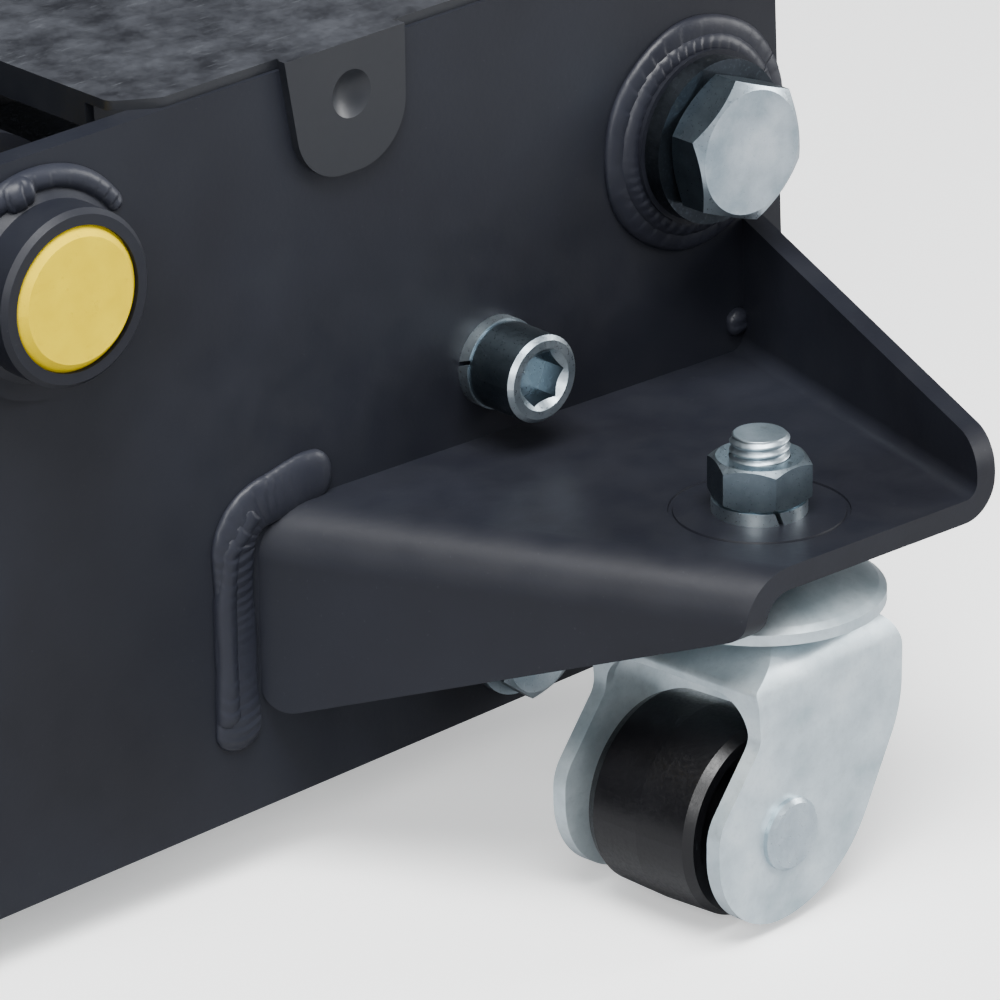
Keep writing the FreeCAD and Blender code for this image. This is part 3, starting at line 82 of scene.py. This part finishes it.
# ------------------------------------------------------------------ node tools
def linear(code):
    """An sRGB hex colour as linear RGBA."""
    parts = [int(code[i:i + 2], 16) / 255 for i in (1, 3, 5)]
    return [p / 12.92 if p <= 0.04045 else ((p + 0.055) / 1.055) ** 2.4 for p in parts] + [1]


def add(tree, kind, inputs=None, **settings):
    """Adds a node, sets its properties, and sets or links its inputs."""
    made = tree.nodes.new(kind)
    for key, value in settings.items():
        setattr(made, key, value)
    for key, value in (inputs or {}).items():
        if isinstance(value, bpy.types.NodeSocket):
            tree.links.new(value, made.inputs[key])
        else:
            made.inputs[key].default_value = value
    return made


def blank(name):
    """A material with only its shader and output, and the object's own coordinates in metres."""
    material = bpy.data.materials.new(name)
    material.use_nodes = True
    tree = material.node_tree
    tree.nodes.clear()
    shader = add(tree, "ShaderNodeBsdfPrincipled")
    add(tree, "ShaderNodeOutputMaterial", {"Surface": shader.outputs["BSDF"]})
    where = add(tree, "ShaderNodeTexCoord").outputs["Object"]
    return material, tree, shader, where


def cloud(tree, where, size_mm, detail=2, rough=0.5):
    """Noise whose blotches are about that many millimetres across."""
    return add(tree, "ShaderNodeTexNoise", {"Vector": where, "Scale": 1000 / size_mm, "Detail": detail,
                                            "Roughness": rough}).outputs["Fac"]


def stretched(tree, where, factor, turn=0.0):
    """Coordinates squeezed along Y, so that noise on them becomes lines. The turn is in radians."""
    return add(tree, "ShaderNodeMapping", {"Vector": where, "Scale": (1, factor, 1),
                                           "Rotation": (0, 0, turn)}).outputs["Vector"]


def spread(tree, value, start, end, out_low=0.0, out_high=1.0):
    """Stretches the values between start and end over a new range."""
    return add(tree, "ShaderNodeMapRange", {"Value": value, "From Min": start, "From Max": end,
                                            "To Min": out_low, "To Max": out_high}).outputs["Result"]


def facing(tree, axis):
    """How far the surface faces along one of the object's axes, from -1 to 1."""
    normal = add(tree, "ShaderNodeTexCoord").outputs["Normal"]
    return add(tree, "ShaderNodeSeparateXYZ", {"Vector": normal}).outputs[axis]


def times(tree, value, factor):
    return add(tree, "ShaderNodeMath", {0: value, 1: factor}, operation="MULTIPLY").outputs[0]


def blended(tree, share, first, second):
    """A colour between two, by a share from 0 to 1. A colour may be a hex code or a socket."""
    made = add(tree, "ShaderNodeMix", data_type="RGBA")
    colours = [linear(c) if isinstance(c, str) else c for c in (first, second)]
    for socket, value in zip((made.inputs[0], made.inputs[6], made.inputs[7]), (share, *colours)):
        if isinstance(value, bpy.types.NodeSocket):
            tree.links.new(value, socket)
        else:
            socket.default_value = value
    return made.outputs[2]


def mottled(tree, noise, dark, pale, end=0.65):
    """Two colours in soft patches that follow the noise."""
    return blended(tree, spread(tree, noise, 0.35, end), dark, pale)


def sheen(tree, noise, rough):
    """Roughness that wanders between two values with the noise."""
    return spread(tree, noise, 0.3, 0.7, *rough)


def raised(tree, height, depth_mm, strength=1.0, under=None):
    """Bump of a stated depth, over another bump if one is given."""
    inputs = {"Height": height, "Distance": depth_mm * MM, "Strength": strength}
    if under is not None:
        inputs["Normal"] = under
    return add(tree, "ShaderNodeBump", inputs).outputs["Normal"]


def join(tree, *wires):
    for source, target in wires:
        tree.links.new(source, target)


def dress(tree, shader, colour, roughness, normal):
    """Links the three wires that every finish has."""
    join(tree, (colour, shader.inputs["Base Color"]), (roughness, shader.inputs["Roughness"]),
         (normal, shader.inputs["Normal"]))


# ------------------------------------------------------------------ finishes
def powder_coat(name, dark, pale, rough, peel_mm, peel_depth_mm):
    """Baked powder paint: a satin film with orange peel, faint clouding and small pale nibs.

    The nibs are drawn coarser than real dust, so that they show at all."""
    material, tree, shader, where = blank(name)
    clouds = cloud(tree, where, 60, 4)
    fine = cloud(tree, where, 0.9, 2)
    nibs = spread(tree, cloud(tree, where, 0.8, 1), 0.72, 0.80)
    body = mottled(tree, clouds, dark, pale)
    dusted = blended(tree, times(tree, nibs, 0.06), body, "#6d7076")
    peel = raised(tree, cloud(tree, where, peel_mm, 2), peel_depth_mm, 0.5)
    skin = raised(tree, fine, 0.012, 0.5, peel)
    dress(tree, shader, dusted, sheen(tree, cloud(tree, where, 9, 5), rough), skin)
    shader.inputs["IOR"].default_value = 1.34
    return material


def zinc_plate(name, dark, pale, rough, grain_mm, grain_depth_mm, stain, metal=1.0, bright_face_axis=None):
    """Electroplated zinc: bright blue-white metal with a granular bloom and faint handling marks.

    The grain is drawn coarser than the real crystals. On a fastener the faces along its axis keep the plain
    zinc colour, and its flats are painted darker, as painted reflection of the dark surroundings. Pressed
    sheet is less than fully metallic, for its cloudy skin."""
    material, tree, shader, where = blank(name)
    bloom = cloud(tree, where, 14, 5, 0.6)
    grain = cloud(tree, where, grain_mm, 3, 0.6)
    body = mottled(tree, bloom, pale, dark, 0.68)
    worn = spread(tree, cloud(tree, where, 5, 6, 0.7), 0.60, 0.72, 0.0, stain)
    stained = blended(tree, worn, body, "#7f8276")
    skin = blended(tree, spread(tree, grain, 0.36, 0.46, 0.10, 0.0), stained, "#7d8a92")
    # Painted reflection: faces that turn away from the fastener's axis, its flats, are painted darker, to
    # stand for the dark surroundings they reflect.
    if bright_face_axis:
        along = facing(tree, bright_face_axis)
        square = add(tree, "ShaderNodeMath", {0: along}, operation="ABSOLUTE").outputs[0]
        flats_painted_dark = mottled(tree, bloom, "#4b565e", "#68747c")
        skin = blended(tree, spread(tree, square, 0.08, 0.35), flats_painted_dark, skin)
    dress(tree, shader, skin, sheen(tree, grain, rough), raised(tree, grain, grain_depth_mm, 0.6))
    shader.inputs["Metallic"].default_value = metal
    return material


def ground_steel(name, dark, pale, rough):
    """Turned or ground steel under a film of oil: dark, with turning lines drawn wider than real ones."""
    material, tree, shader, where = blank(name)
    lines = cloud(tree, stretched(tree, where, 12), 4, 4)
    body = mottled(tree, cloud(tree, where, 22, 4), dark, pale)
    dress(tree, shader, body, sheen(tree, lines, rough), raised(tree, lines, 0.02, 0.4))
    shader.inputs["Metallic"].default_value = 1.0
    return material


def yellow_enamel(name):
    """Brushed-on enamel: thick and half glossy, with a little grime in patches.

    A low index and a deep base colour keep it yellow, where a stronger gloss would wash it out."""
    material, tree, shader, where = blank(name)
    thick = cloud(tree, where, 7, 3)
    grime = spread(tree, cloud(tree, where, 1.6, 6, 0.7), 0.60, 0.74)
    body = mottled(tree, thick, "#d6ba00", "#ccb000")
    dirty = blended(tree, times(tree, grime, 0.3), body, "#8a7a35")
    dress(tree, shader, dirty, sheen(tree, thick, (0.34, 0.46)), raised(tree, thick, 0.12, 0.5))
    shader.inputs["IOR"].default_value = 1.08
    return material


def scuffed_sheet(name):
    """Thin painted steel sheet: mottled and rubbed pale on top. The upward faces keep these colours as a
    painted highlight, and the folded tabs are painted near black as painted shade.
    """
    material, tree, shader, where = blank(name)
    rub = cloud(tree, where, 11, 6, 0.7)
    scratches = spread(tree, cloud(tree, stretched(tree, where, 9, 0.5), 6, 5, 0.7), 0.60, 0.70)
    body = mottled(tree, rub, "#1b1c20", "#35373c")
    rubbed = blended(tree, times(tree, scratches, 0.4), body, "#5b5e62")
    # Painted light: faces that look up keep the scuffed colours as a painted highlight, and the rest are
    # painted near black as painted shade.
    scuffs_and_painted_top_light = blended(tree, spread(tree, facing(tree, "Z"), 0.3, 0.8), "#14161b", rubbed)
    dress(tree, shader, scuffs_and_painted_top_light, sheen(tree, rub, (0.36, 0.55)), raised(tree, rub, 0.10, 0.4))
    shader.inputs["IOR"].default_value = 1.5
    return material


def moulded_nylon(name):
    """Injection-moulded nylon: satin black, with a spark-eroded grain drawn coarser than real."""
    material, tree, shader, where = blank(name)
    grain = cloud(tree, where, 0.8, 3, 0.6)
    body = mottled(tree, cloud(tree, where, 18, 4), "#050507", "#0d0d10")
    dress(tree, shader, body, sheen(tree, grain, (0.30, 0.46)), raised(tree, grain, 0.04, 0.7))
    shader.inputs["IOR"].default_value = 1.42
    return material


def painted_casting(name, dark, pale):
    """Sand-cast iron under one coat of paint: coarse grain that the paint softens."""
    material, tree, shader, where = blank(name)
    sand = cloud(tree, where, 1.8, 4, 0.65)
    body = mottled(tree, cloud(tree, where, 25, 4), dark, pale)
    dress(tree, shader, body, sheen(tree, sand, (0.42, 0.62)), raised(tree, sand, 0.18, 0.8))
    shader.inputs["IOR"].default_value = 1.5
    return material


def soft_rubber(name):
    """Moulded rubber: matt black with a faint bloom and a fine tooth drawn coarser than real."""
    material, tree, shader, where = blank(name)
    bloom = cloud(tree, where, 12, 5)
    body = blended(tree, spread(tree, bloom, 0.3, 0.7), "#101011", "#242425")
    tooth = raised(tree, cloud(tree, where, 0.6, 2), 0.03, 0.6)
    dress(tree, shader, body, sheen(tree, bloom, (0.6, 0.8)), tooth)
    return material


def studio_card(name):
    """A matt card that looks pale but throws little light back under the jack."""
    material, tree, shader, where = blank(name)
    seen = add(tree, "ShaderNodeLightPath").outputs["Is Camera Ray"]
    pale = blended(tree, cloud(tree, where, 400, 2), "#f3f3f2", "#efefee")
    lift = times(tree, seen, 0.5)
    join(tree, (blended(tree, seen, "#9b9c9f", pale), shader.inputs["Base Color"]),
         (lift, shader.inputs["Emission Strength"]))
    shader.inputs["Emission Color"].default_value = linear("#f4f5f6")
    shader.inputs["Roughness"].default_value = 0.8
    return material


CHARCOAL = powder_coat("charcoal_powder_coat", "#121319", "#191b22", (0.40, 0.54),
                       peel_mm=1.4, peel_depth_mm=0.05)
WELD = powder_coat("charcoal_coat_over_weld", "#15161d", "#22242c", (0.34, 0.5),
                   peel_mm=0.9, peel_depth_mm=0.06)
COVER = scuffed_sheet("scuffed_painted_sheet")
YELLOW = yellow_enamel("yellow_gloss_enamel")
ZINC = zinc_plate("blue_white_zinc_plate", "#9aaab3", "#cdd9df", (0.26, 0.38),
                  grain_mm=0.5, grain_depth_mm=0.006, stain=0.1)
ZINC_SHEET = zinc_plate("granular_zinc_on_pressed_sheet", "#a3b3ba", "#cdd9de", (0.28, 0.42),
                        grain_mm=0.9, grain_depth_mm=0.014, stain=0.12, metal=0.62)
ZINC_BOLT = zinc_plate("zinc_plate_on_bolt_head", "#9aaab3", "#d2dde3", (0.26, 0.38),
                       grain_mm=0.5, grain_depth_mm=0.006, stain=0.1, bright_face_axis="Y")
# The nut's zinc is painted darker than the other zinc, as painted reflection of the dark surroundings.
ZINC_NUT = zinc_plate("zinc_plate_on_nut", "#8b9aa3", "#bccad1", (0.26, 0.38),
                      grain_mm=0.5, grain_depth_mm=0.006, stain=0.1, bright_face_axis="Z")
ZINC_THREAD = zinc_plate("zinc_plate_on_thread", "#8b979e", "#b7c2c8", (0.3, 0.5),
                         grain_mm=0.5, grain_depth_mm=0.01, stain=0.4)
DARK_ZINC = zinc_plate("blackened_zinc_washer", "#2a2e33", "#3c4147", (0.3, 0.5),
                       grain_mm=0.8, grain_depth_mm=0.02, stain=0.3)
STEEL = ground_steel("oiled_ground_steel", "#6d6f71", "#9a9c9e", (0.22, 0.4))
SPRING = ground_steel("oiled_spring_wire", "#3b3c3e", "#5a5c5f", (0.3, 0.5))
NYLON = moulded_nylon("moulded_black_nylon")
CASTING = painted_casting("painted_grey_iron", "#24262a", "#303338")
RUBBER = soft_rubber("matt_black_rubber")

BY_SLOT = {
    "charcoal_paint": CHARCOAL, "yellow_paint": YELLOW, "cover_sheet": COVER, "zinc_plate": ZINC,
    "bare_steel": STEEL, "cast_iron": CASTING, "black_nylon": NYLON, "rubber_grip": RUBBER,
    "spring_steel": SPRING}

# Nodes whose finish differs from the rest of their slot.
OTHER = {
    "pivot_bolts": ZINC_BOLT, "unit_cap_screws": ZINC_BOLT, "unit_hex_bolts": ZINC_BOLT,
    "caster_nuts": ZINC_NUT, "pivot_washers": DARK_ZINC, "caster_races": ZINC_SHEET,
    "left_caster_fork": ZINC_SHEET, "right_caster_fork": ZINC_SHEET}

# Radius of the broken edges, in millimetres.
ROUNDED = {
    "left_side_plate": 0.5, "right_side_plate": 0.5, "left_caster_bracket": 0.7,
    "right_caster_bracket": 0.7, "top_cover": 0.4, "arm_plates": 1.0, "arm_web": 0.5,
    "pump_block": 2.0, "pump_cam": 0.4, "ram_yoke": 1.0, "ram_nut": 0.3, "saddle_carrier": 1.0,
    "saddle": 0.8, "level_rods": 0.4, "handle_socket": 0.8, "left_caster_fork": 0.5,
    "right_caster_fork": 0.5, "left_caster_wheel": 0.5, "right_caster_wheel": 0.5,
    "pivot_bolts": 0.25, "caster_nuts": 0.25, "unit_cap_screws": 0.3, "unit_hex_bolts": 0.2}


def soften(piece, radius_mm):
    """Breaks the sharp edges, as paint and tumbling do."""
    bevel = piece.modifiers.new("broken_edges", "BEVEL")
    bevel.width = radius_mm * MM
    bevel.segments = 2
    bevel.limit_method = "ANGLE"
    bevel.angle_limit = math.radians(35)
    bevel.harden_normals = True
    bevel.use_clamp_overlap = True


def finish_frame():
    """Gives every CAD node its finish, and broken edges where they show."""
    for part in frame["record"]["subparts"]:
        piece = frame["nodes"][part["node"]]
        material = OTHER.get(part["node"], BY_SLOT[part["material_slot"]])
        for holder in piece.material_slots:
            holder.material = material
        if part["node"] in ROUNDED:
            soften(piece, ROUNDED[part["node"]])


# ------------------------------------------------------------------ mesh tools
def solid(name, vertices, faces, material, body, slot):
    """A closed mesh, smooth but for its end caps. A body of None leaves it unattached."""
    mesh = bpy.data.meshes.new(name)
    mesh.from_pydata([tuple(v) for v in vertices], [], faces)
    shape = bmesh.new()
    shape.from_mesh(mesh)
    bmesh.ops.remove_doubles(shape, verts=shape.verts, dist=1e-7)
    bmesh.ops.recalc_face_normals(shape, faces=shape.faces)
    shape.to_mesh(mesh)
    shape.free()
    for face in mesh.polygons:
        face.use_smooth = len(face.vertices) < 5
    mesh.materials.append(material)
    piece = bpy.data.objects.new(name, mesh)
    bpy.context.collection.objects.link(piece)
    if body:
        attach(piece, body)
    return piece


def grid_faces(rows, columns):
    """Quads over rows of points, each row a closed loop, with one polygon as a cap at each end."""
    faces = []
    for i in range(rows - 1):
        for j in range(columns):
            k = (j + 1) % columns
            faces.append((i * columns + j, i * columns + k, (i + 1) * columns + k, (i + 1) * columns + j))
    faces.append(tuple(reversed(range(columns))))
    faces.append(tuple(range((rows - 1) * columns, rows * columns)))
    return faces


def turned_solid(name, at, profile, material, body, slot):
    """A lathe piece: (radius in millimetres, height in metres) about an upright axis through a point."""
    around = 64
    centre_radius = 0.02
    turn = Vector((0, 0, 1)).to_track_quat("Z", "Y").to_matrix()
    vertices = []
    for radius, height in profile:
        r = max(radius, centre_radius) * MM
        for j in range(around):
            angle = 2 * math.pi * j / around
            vertices.append(at + turn @ Vector((r * math.cos(angle), r * math.sin(angle), height)))
    return solid(name, vertices, grid_faces(len(profile), around), material, body, slot)


def walked(points, step):
    """Points evenly spaced along a path."""
    out = [points[0].copy()]
    left = step
    for a, b in zip(points, points[1:]):
        length = (b - a).length
        at = left
        while at <= length:
            out.append(a.lerp(b, at / length))
            at += step
        left = at - length
    return out


# ------------------------------------------------------------------ welds
def weld_bead(name, path, outward, half_wide, height, pitch, ripples, ring):
    """A run of weld metal: overlapping crescents over a low crown, tapered at its ends unless it is a ring.

    The path and sizes are in metres, and the ripple pitch in millimetres, drawn coarser than a real bead's.
    The sine waves have unrelated lengths, so that no two stretches of a bead look alike."""
    spacing = 0.35
    around = 22
    curl_depth, curl_lag = 1.1, 1.4
    spots = walked(path, spacing * MM)
    total = len(spots)
    vertices = []
    for i, spot in enumerate(spots):
        ahead = spots[min(i + 1, total - 1)] - spots[max(i - 1, 0)]
        ahead.normalize()
        side = ahead.cross(outward).normalized()
        reach = min(1.0, min(i, total - 1 - i) * spacing * MM / (half_wide * 0.9))
        taper = 1.0 if ring else math.sqrt(max(0.02, reach * (2 - reach)))
        wander = 1 + 0.06 * math.sin(i * 0.035 + 1.7) + 0.04 * math.sin(i * 0.11 + 0.4)
        for j in range(around):
            angle = 2 * math.pi * j / around
            across, rise = math.sin(angle), math.cos(angle)
            curl = (1 - across * across) * curl_depth
            phase = (i * spacing + curl * curl_lag) / pitch
            phase += 0.35 * math.sin(i * 0.071) + 0.25 * math.sin(i * 0.023 + half_wide * 900)
            step = phase - math.floor(phase)
            ripple = 1.0 - ripples * (0.7 + 0.5 * math.sin(i * 0.047 + 2.0)) * (1 - step) ** 2
            up = height * ripple * rise ** 0.7 if rise > 0 else height * 0.5 * rise
            vertices.append(spot + side * (half_wide * across * taper * wander) + outward * (up * taper))
    solid(name, vertices, grid_faces(total, around), WELD, "chassis", "charcoal_paint")


def flat_path(side, points):
    """Points (forward of the cap screw, height), in millimetres, on the side plate's outer face."""
    return [Vector((SCREW.x + dx * MM, side * PLATE_FACE, z * MM)) for dx, z in points]


def arc(cx, cz, radius, start, end, count):
    """Points on an arc, from one angle to another, in degrees."""
    angles = [math.radians(start + (end - start) * i / count) for i in range(count + 1)]
    return [(cx + radius * math.cos(angle), cz + radius * math.sin(angle)) for angle in angles]


def welds():
    """The beads on both side plates. A ring starts at 150 degrees, where its seam is away from the camera."""
    shaft = (SHAFT.x - SCREW.x) / MM, SHAFT.z / MM
    pivot = (PIVOT.x - SCREW.x) / MM, PIVOT.z / MM
    bend = arc(58.5, 69.5, 9.5, 8, 88, 10)
    front = [(67.5, 28.5), (67.8, 50), (68.0, 66)] + bend + [(50, 80.6), (42.5, 80.8)]
    toe = [(70.2, 34), (70.4, 60), (69.2, 71), (62, 79)]

    # name, path, half width, height, ripple pitch (all in millimetres), ripple depth, whether it is a ring
    runs = (
        ("bracket_front_weld", front, 5.2, 2.1, 2.3, 0.2, False),
        ("bracket_second_pass", toe, 2.6, 2.5, 3.1, 0.14, False),
        ("bracket_rear_tack", [(-66.5, 80), (-65.8, 86)], 2.6, 2.2, 2.3, 0.13, False),
        ("bracket_under_weld", [(-58, 70.2), (20, 70.2)], 3.2, 2.6, 2.3, 0.13, False),
        ("pivot_boss_weld", arc(*pivot, 20.4, 150, 510, 90), 4.0, 2.0, 4.0, 0.12, True),
        ("pivot_boss_second_pass", arc(*pivot, 18.4, 150, 510, 90), 2.9, 3.2, 2.4, 0.12, True),
        ("shaft_boss_weld", arc(*shaft, 20.8, 55, 150, 40), 2.4, 2.6, 3.2, 0.2, False),
        ("shaft_boss_end_lump", arc(*shaft, 20.0, 62, 86, 12), 3.0, 4.0, 3.2, 0.2, False),
        ("shaft_boss_front_weld", arc(*shaft, 20.0, -25, 24, 20), 3.6, 5.0, 3.2, 0.2, False))
    for side, word in SIDES:
        for run, points, half_wide, height, pitch, ripples, ring in runs:
            weld_bead(f"{word}_{run}", flat_path(side, points), Vector((0, side, 0)),
                      half_wide * MM, height * MM, pitch, ripples, ring)


# ------------------------------------------------------------------ caster studs
def threaded_rod(at, radius, bottom, top, pitch):
    """A helical thread of real pitch and about real depth, with a pointed start."""
    around, per_turn = 56, 10
    depth = pitch * 0.55
    point_height = 0.8 * MM
    crest_flat = 0.1 * MM
    rows = int((top - bottom) / (pitch / per_turn)) + 1
    vertices = []
    for i in range(rows):
        z = bottom + (top - bottom) * i / (rows - 1)
        cone = max(0.0, z - (top - point_height))
        for j in range(around):
            share = (z / pitch - j / around) % 1.0
            groove = depth * (1 - abs(2 * share - 1)) ** 0.9
            r = min(radius - groove, radius - crest_flat - cone)
            angle = 2 * math.pi * j / around
            vertices.append(at + Vector((r * math.cos(angle), r * math.sin(angle), z)))
    return vertices, grid_faces(rows, around)


def caster_studs():
    """Studs with their rolled thread showing above the nut, and a round foot below."""
    base = low("caster_studs").z
    thread_radius, thread_start, thread_pitch = 6 * MM, 3 * MM, 1.75 * MM
    foot = ((0, 0), (8.4, 0), (9.0, 0.6), (9.0, 2.2), (8.2, 3.0), (0, 3.2))
    for side, word in SIDES:
        at = Vector((STUD_X, side * STUD_Y, 0))
        shape = threaded_rod(at, thread_radius, base + thread_start, STUD_TOP, thread_pitch)
        made = solid(f"{word}_caster_stud_thread", *shape, ZINC_THREAD, "chassis", "zinc_plate")
        turned_solid(f"{word}_caster_stud_foot", at, [(r, base + h * MM) for r, h in foot], ZINC,
                     "chassis", "zinc_plate")
        if side > 0:
            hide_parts("caster_studs")


# ------------------------------------------------------------------ springs
def coil_spring(name, start, end, radius, wire, turns, node, mark):
    """A spring of even pitch wound from round wire, from one point to another."""
    per_turn, around = 28, 10
    axis = (end - start).normalized()
    side = axis.orthogonal().normalized()
    other = axis.cross(side)
    steps = int(turns * per_turn)
    length = (end - start).length
    coil = []
    for i in range(steps + 1):
        share = i / steps
        angle = 2 * math.pi * turns * share
        radial = side * math.cos(angle) + other * math.sin(angle)
        centre = start + axis * (wire + (length - 2 * wire) * share) + radial * radius
        for j in range(around):
            lean = 2 * math.pi * j / around
            coil.append(centre + (radial * math.cos(lean) + axis * math.sin(lean)) * wire)
    made = solid(name, coil, grid_faces(steps + 1, around), SPRING, None, "spring_steel")
    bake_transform(made)
    if mark:
        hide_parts(node)


def springs():
    """Two return springs beside the ram, and the pump's spring along its sloping piston."""
    box_low, box_high = low("return_springs"), high("return_springs")
    centre_z = (box_low.z + box_high.z) / 2
    half = (box_high.z - box_low.z) / 2
    inset, return_wire, return_turns = 0.9 * MM, 0.8 * MM, 24
    for side, word in SIDES:
        y = side * (box_high.y - half)
        rear, front = Vector((box_low.x, y, centre_z)), Vector((box_high.x, y, centre_z))
        coil_spring(f"{word}_return_coil", rear, front, half - inset, return_wire, return_turns,
                    "return_springs", side > 0)

    slope = math.radians(-50)
    far_mm, near_mm = 41.7, 19.7
    coil_radius, pump_wire, pump_turns = 8 * MM, 0.95 * MM, 6
    heading = Vector((math.cos(slope), 0, math.sin(slope)))
    start = Vector((PIVOT.x, middle("pump_spring").y, PIVOT.z))
    coil_spring("pump_coil", start + heading * far_mm * MM, start + heading * near_mm * MM,
                coil_radius, pump_wire, pump_turns, "pump_spring", True)


# ------------------------------------------------------------------ grip
def hand_grip():
    """A moulded rubber grip with finger rings and a domed end."""
    top, base = high("hand_grip").z, low("hand_grip").z
    outer = (high("hand_grip").x - low("hand_grip").x) / 2 / MM - 0.2
    bore, collar = 17.05, 3
    first_ring, ring_pitch, plain_end = 5, 5.4, 14
    ring = ((2.2, 0), (2.2, 1.2), (1.4, 2.0), (1.2, 3.4), (1.4, 4.6))
    dome = ((1.5, 12), (1.5, 4), (3, 1.5), (6, 0))
    profile = [(bore, base), (outer, base), (outer, base + collar * MM)]
    height = base + first_ring * MM
    while height < top - plain_end * MM:
        profile += [(outer - cut, height + rise * MM) for cut, rise in ring]
        height += ring_pitch * MM
    profile += [(outer - cut, top - drop * MM) for cut, drop in dome] + [(0, top)]
    made = turned_solid("ribbed_hand_grip", Vector((PIVOT.x, 0, 0)), profile, RUBBER, "handle", "rubber_grip")
    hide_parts("hand_grip")


# ------------------------------------------------------------------ studio
def studio_floor():
    """A pale card floor that reaches past every view."""
    wide = 30.0
    mesh = bpy.data.meshes.new("studio_floor")
    corners = [(-wide, -wide, 0), (wide, -wide, 0), (wide, wide, 0), (-wide, wide, 0)]
    mesh.from_pydata(corners, [], [(0, 1, 2, 3)])
    mesh.materials.append(studio_card("pale_studio_card"))
    floor = bpy.data.objects.new("studio_floor", mesh)
    bpy.context.collection.objects.link(floor)


def studio_world():
    """A room that the camera sees pale, and that glows more from the left."""
    world = bpy.data.worlds.new("studio")
    world.use_nodes = True
    tree = world.node_tree
    way = add(tree, "ShaderNodeTexCoord").outputs["Generated"]
    split = add(tree, "ShaderNodeSeparateXYZ", {"Vector": way})
    glow = blended(tree, spread(tree, split.outputs["Y"], -0.5, 0.5), "#3c4046", "#c9ced6")
    seen = add(tree, "ShaderNodeLightPath").outputs["Is Camera Ray"]
    background = tree.nodes["Background"]
    join(tree, (blended(tree, seen, glow, "#f4f6fa"), background.inputs["Color"]))
    background.inputs["Strength"].default_value = 0.8
    bpy.context.scene.world = world


def softboxes():
    """A big overhead softbox and two lower ones, all aimed at the rear left corner."""
    aim = Vector((SCREW.x, PLATE_FACE, 0.09))

    # name, place (forward of the cap screw, left, up), width, height (all in metres), watts
    for name, (ahead, left, up), wide, tall, watts in (
            ("overhead_softbox", (0.4, 0.7, 2.0), 1.5, 1.2, 63),
            ("front_softbox", (2.0, 1.5, 1.2), 1.2, 1.4, 25),
            ("rear_softbox", (-1.9, 1.0, 0.7), 0.8, 1.3, 18)):
        at = Vector((SCREW.x + ahead, left, up))
        light = bpy.data.lights.new(name, "AREA")
        light.shape = "RECTANGLE"
        light.size, light.size_y = wide, tall
        light.energy = watts
        light.spread = math.radians(125)
        lamp = bpy.data.objects.new(name, light)
        lamp.location = at
        lamp.rotation_euler = (aim - at).to_track_quat("-Z", "Y").to_euler()
        bpy.context.collection.objects.link(lamp)


def camera():
    """Looks at the rear left corner from the front left, a little above."""
    azimuth, elevation, roll = math.radians(138.4), math.radians(22.4), math.radians(-0.6)
    distance = 1.292
    back = Vector((math.sin(azimuth) * math.cos(elevation), -math.cos(azimuth) * math.cos(elevation),
                   math.sin(elevation)))
    right = Vector((math.cos(azimuth), math.sin(azimuth), 0))
    up = back.cross(right)
    turned_right = right * math.cos(roll) + up * math.sin(roll)
    turned_up = back.cross(turned_right)
    aim = Vector((SCREW.x + 6.1 * MM, PLATE_FACE + 8.2 * MM, SCREW.z - 25.7 * MM))
    data = bpy.data.cameras.new("camera")
    data.lens = 235.4
    data.sensor_width = 36
    data.clip_start = 0.05
    data.clip_end = 100
    made = bpy.data.objects.new("camera", data)
    facing_way = Matrix((turned_right, turned_up, back)).transposed().to_4x4()
    made.matrix_world = Matrix.Translation(aim + back * distance) @ facing_way
    bpy.context.collection.objects.link(made)
    bpy.context.scene.camera = made


finish_frame()
welds()
caster_studs()
springs()
hand_grip()
studio_floor()
studio_world()
softboxes()
camera()
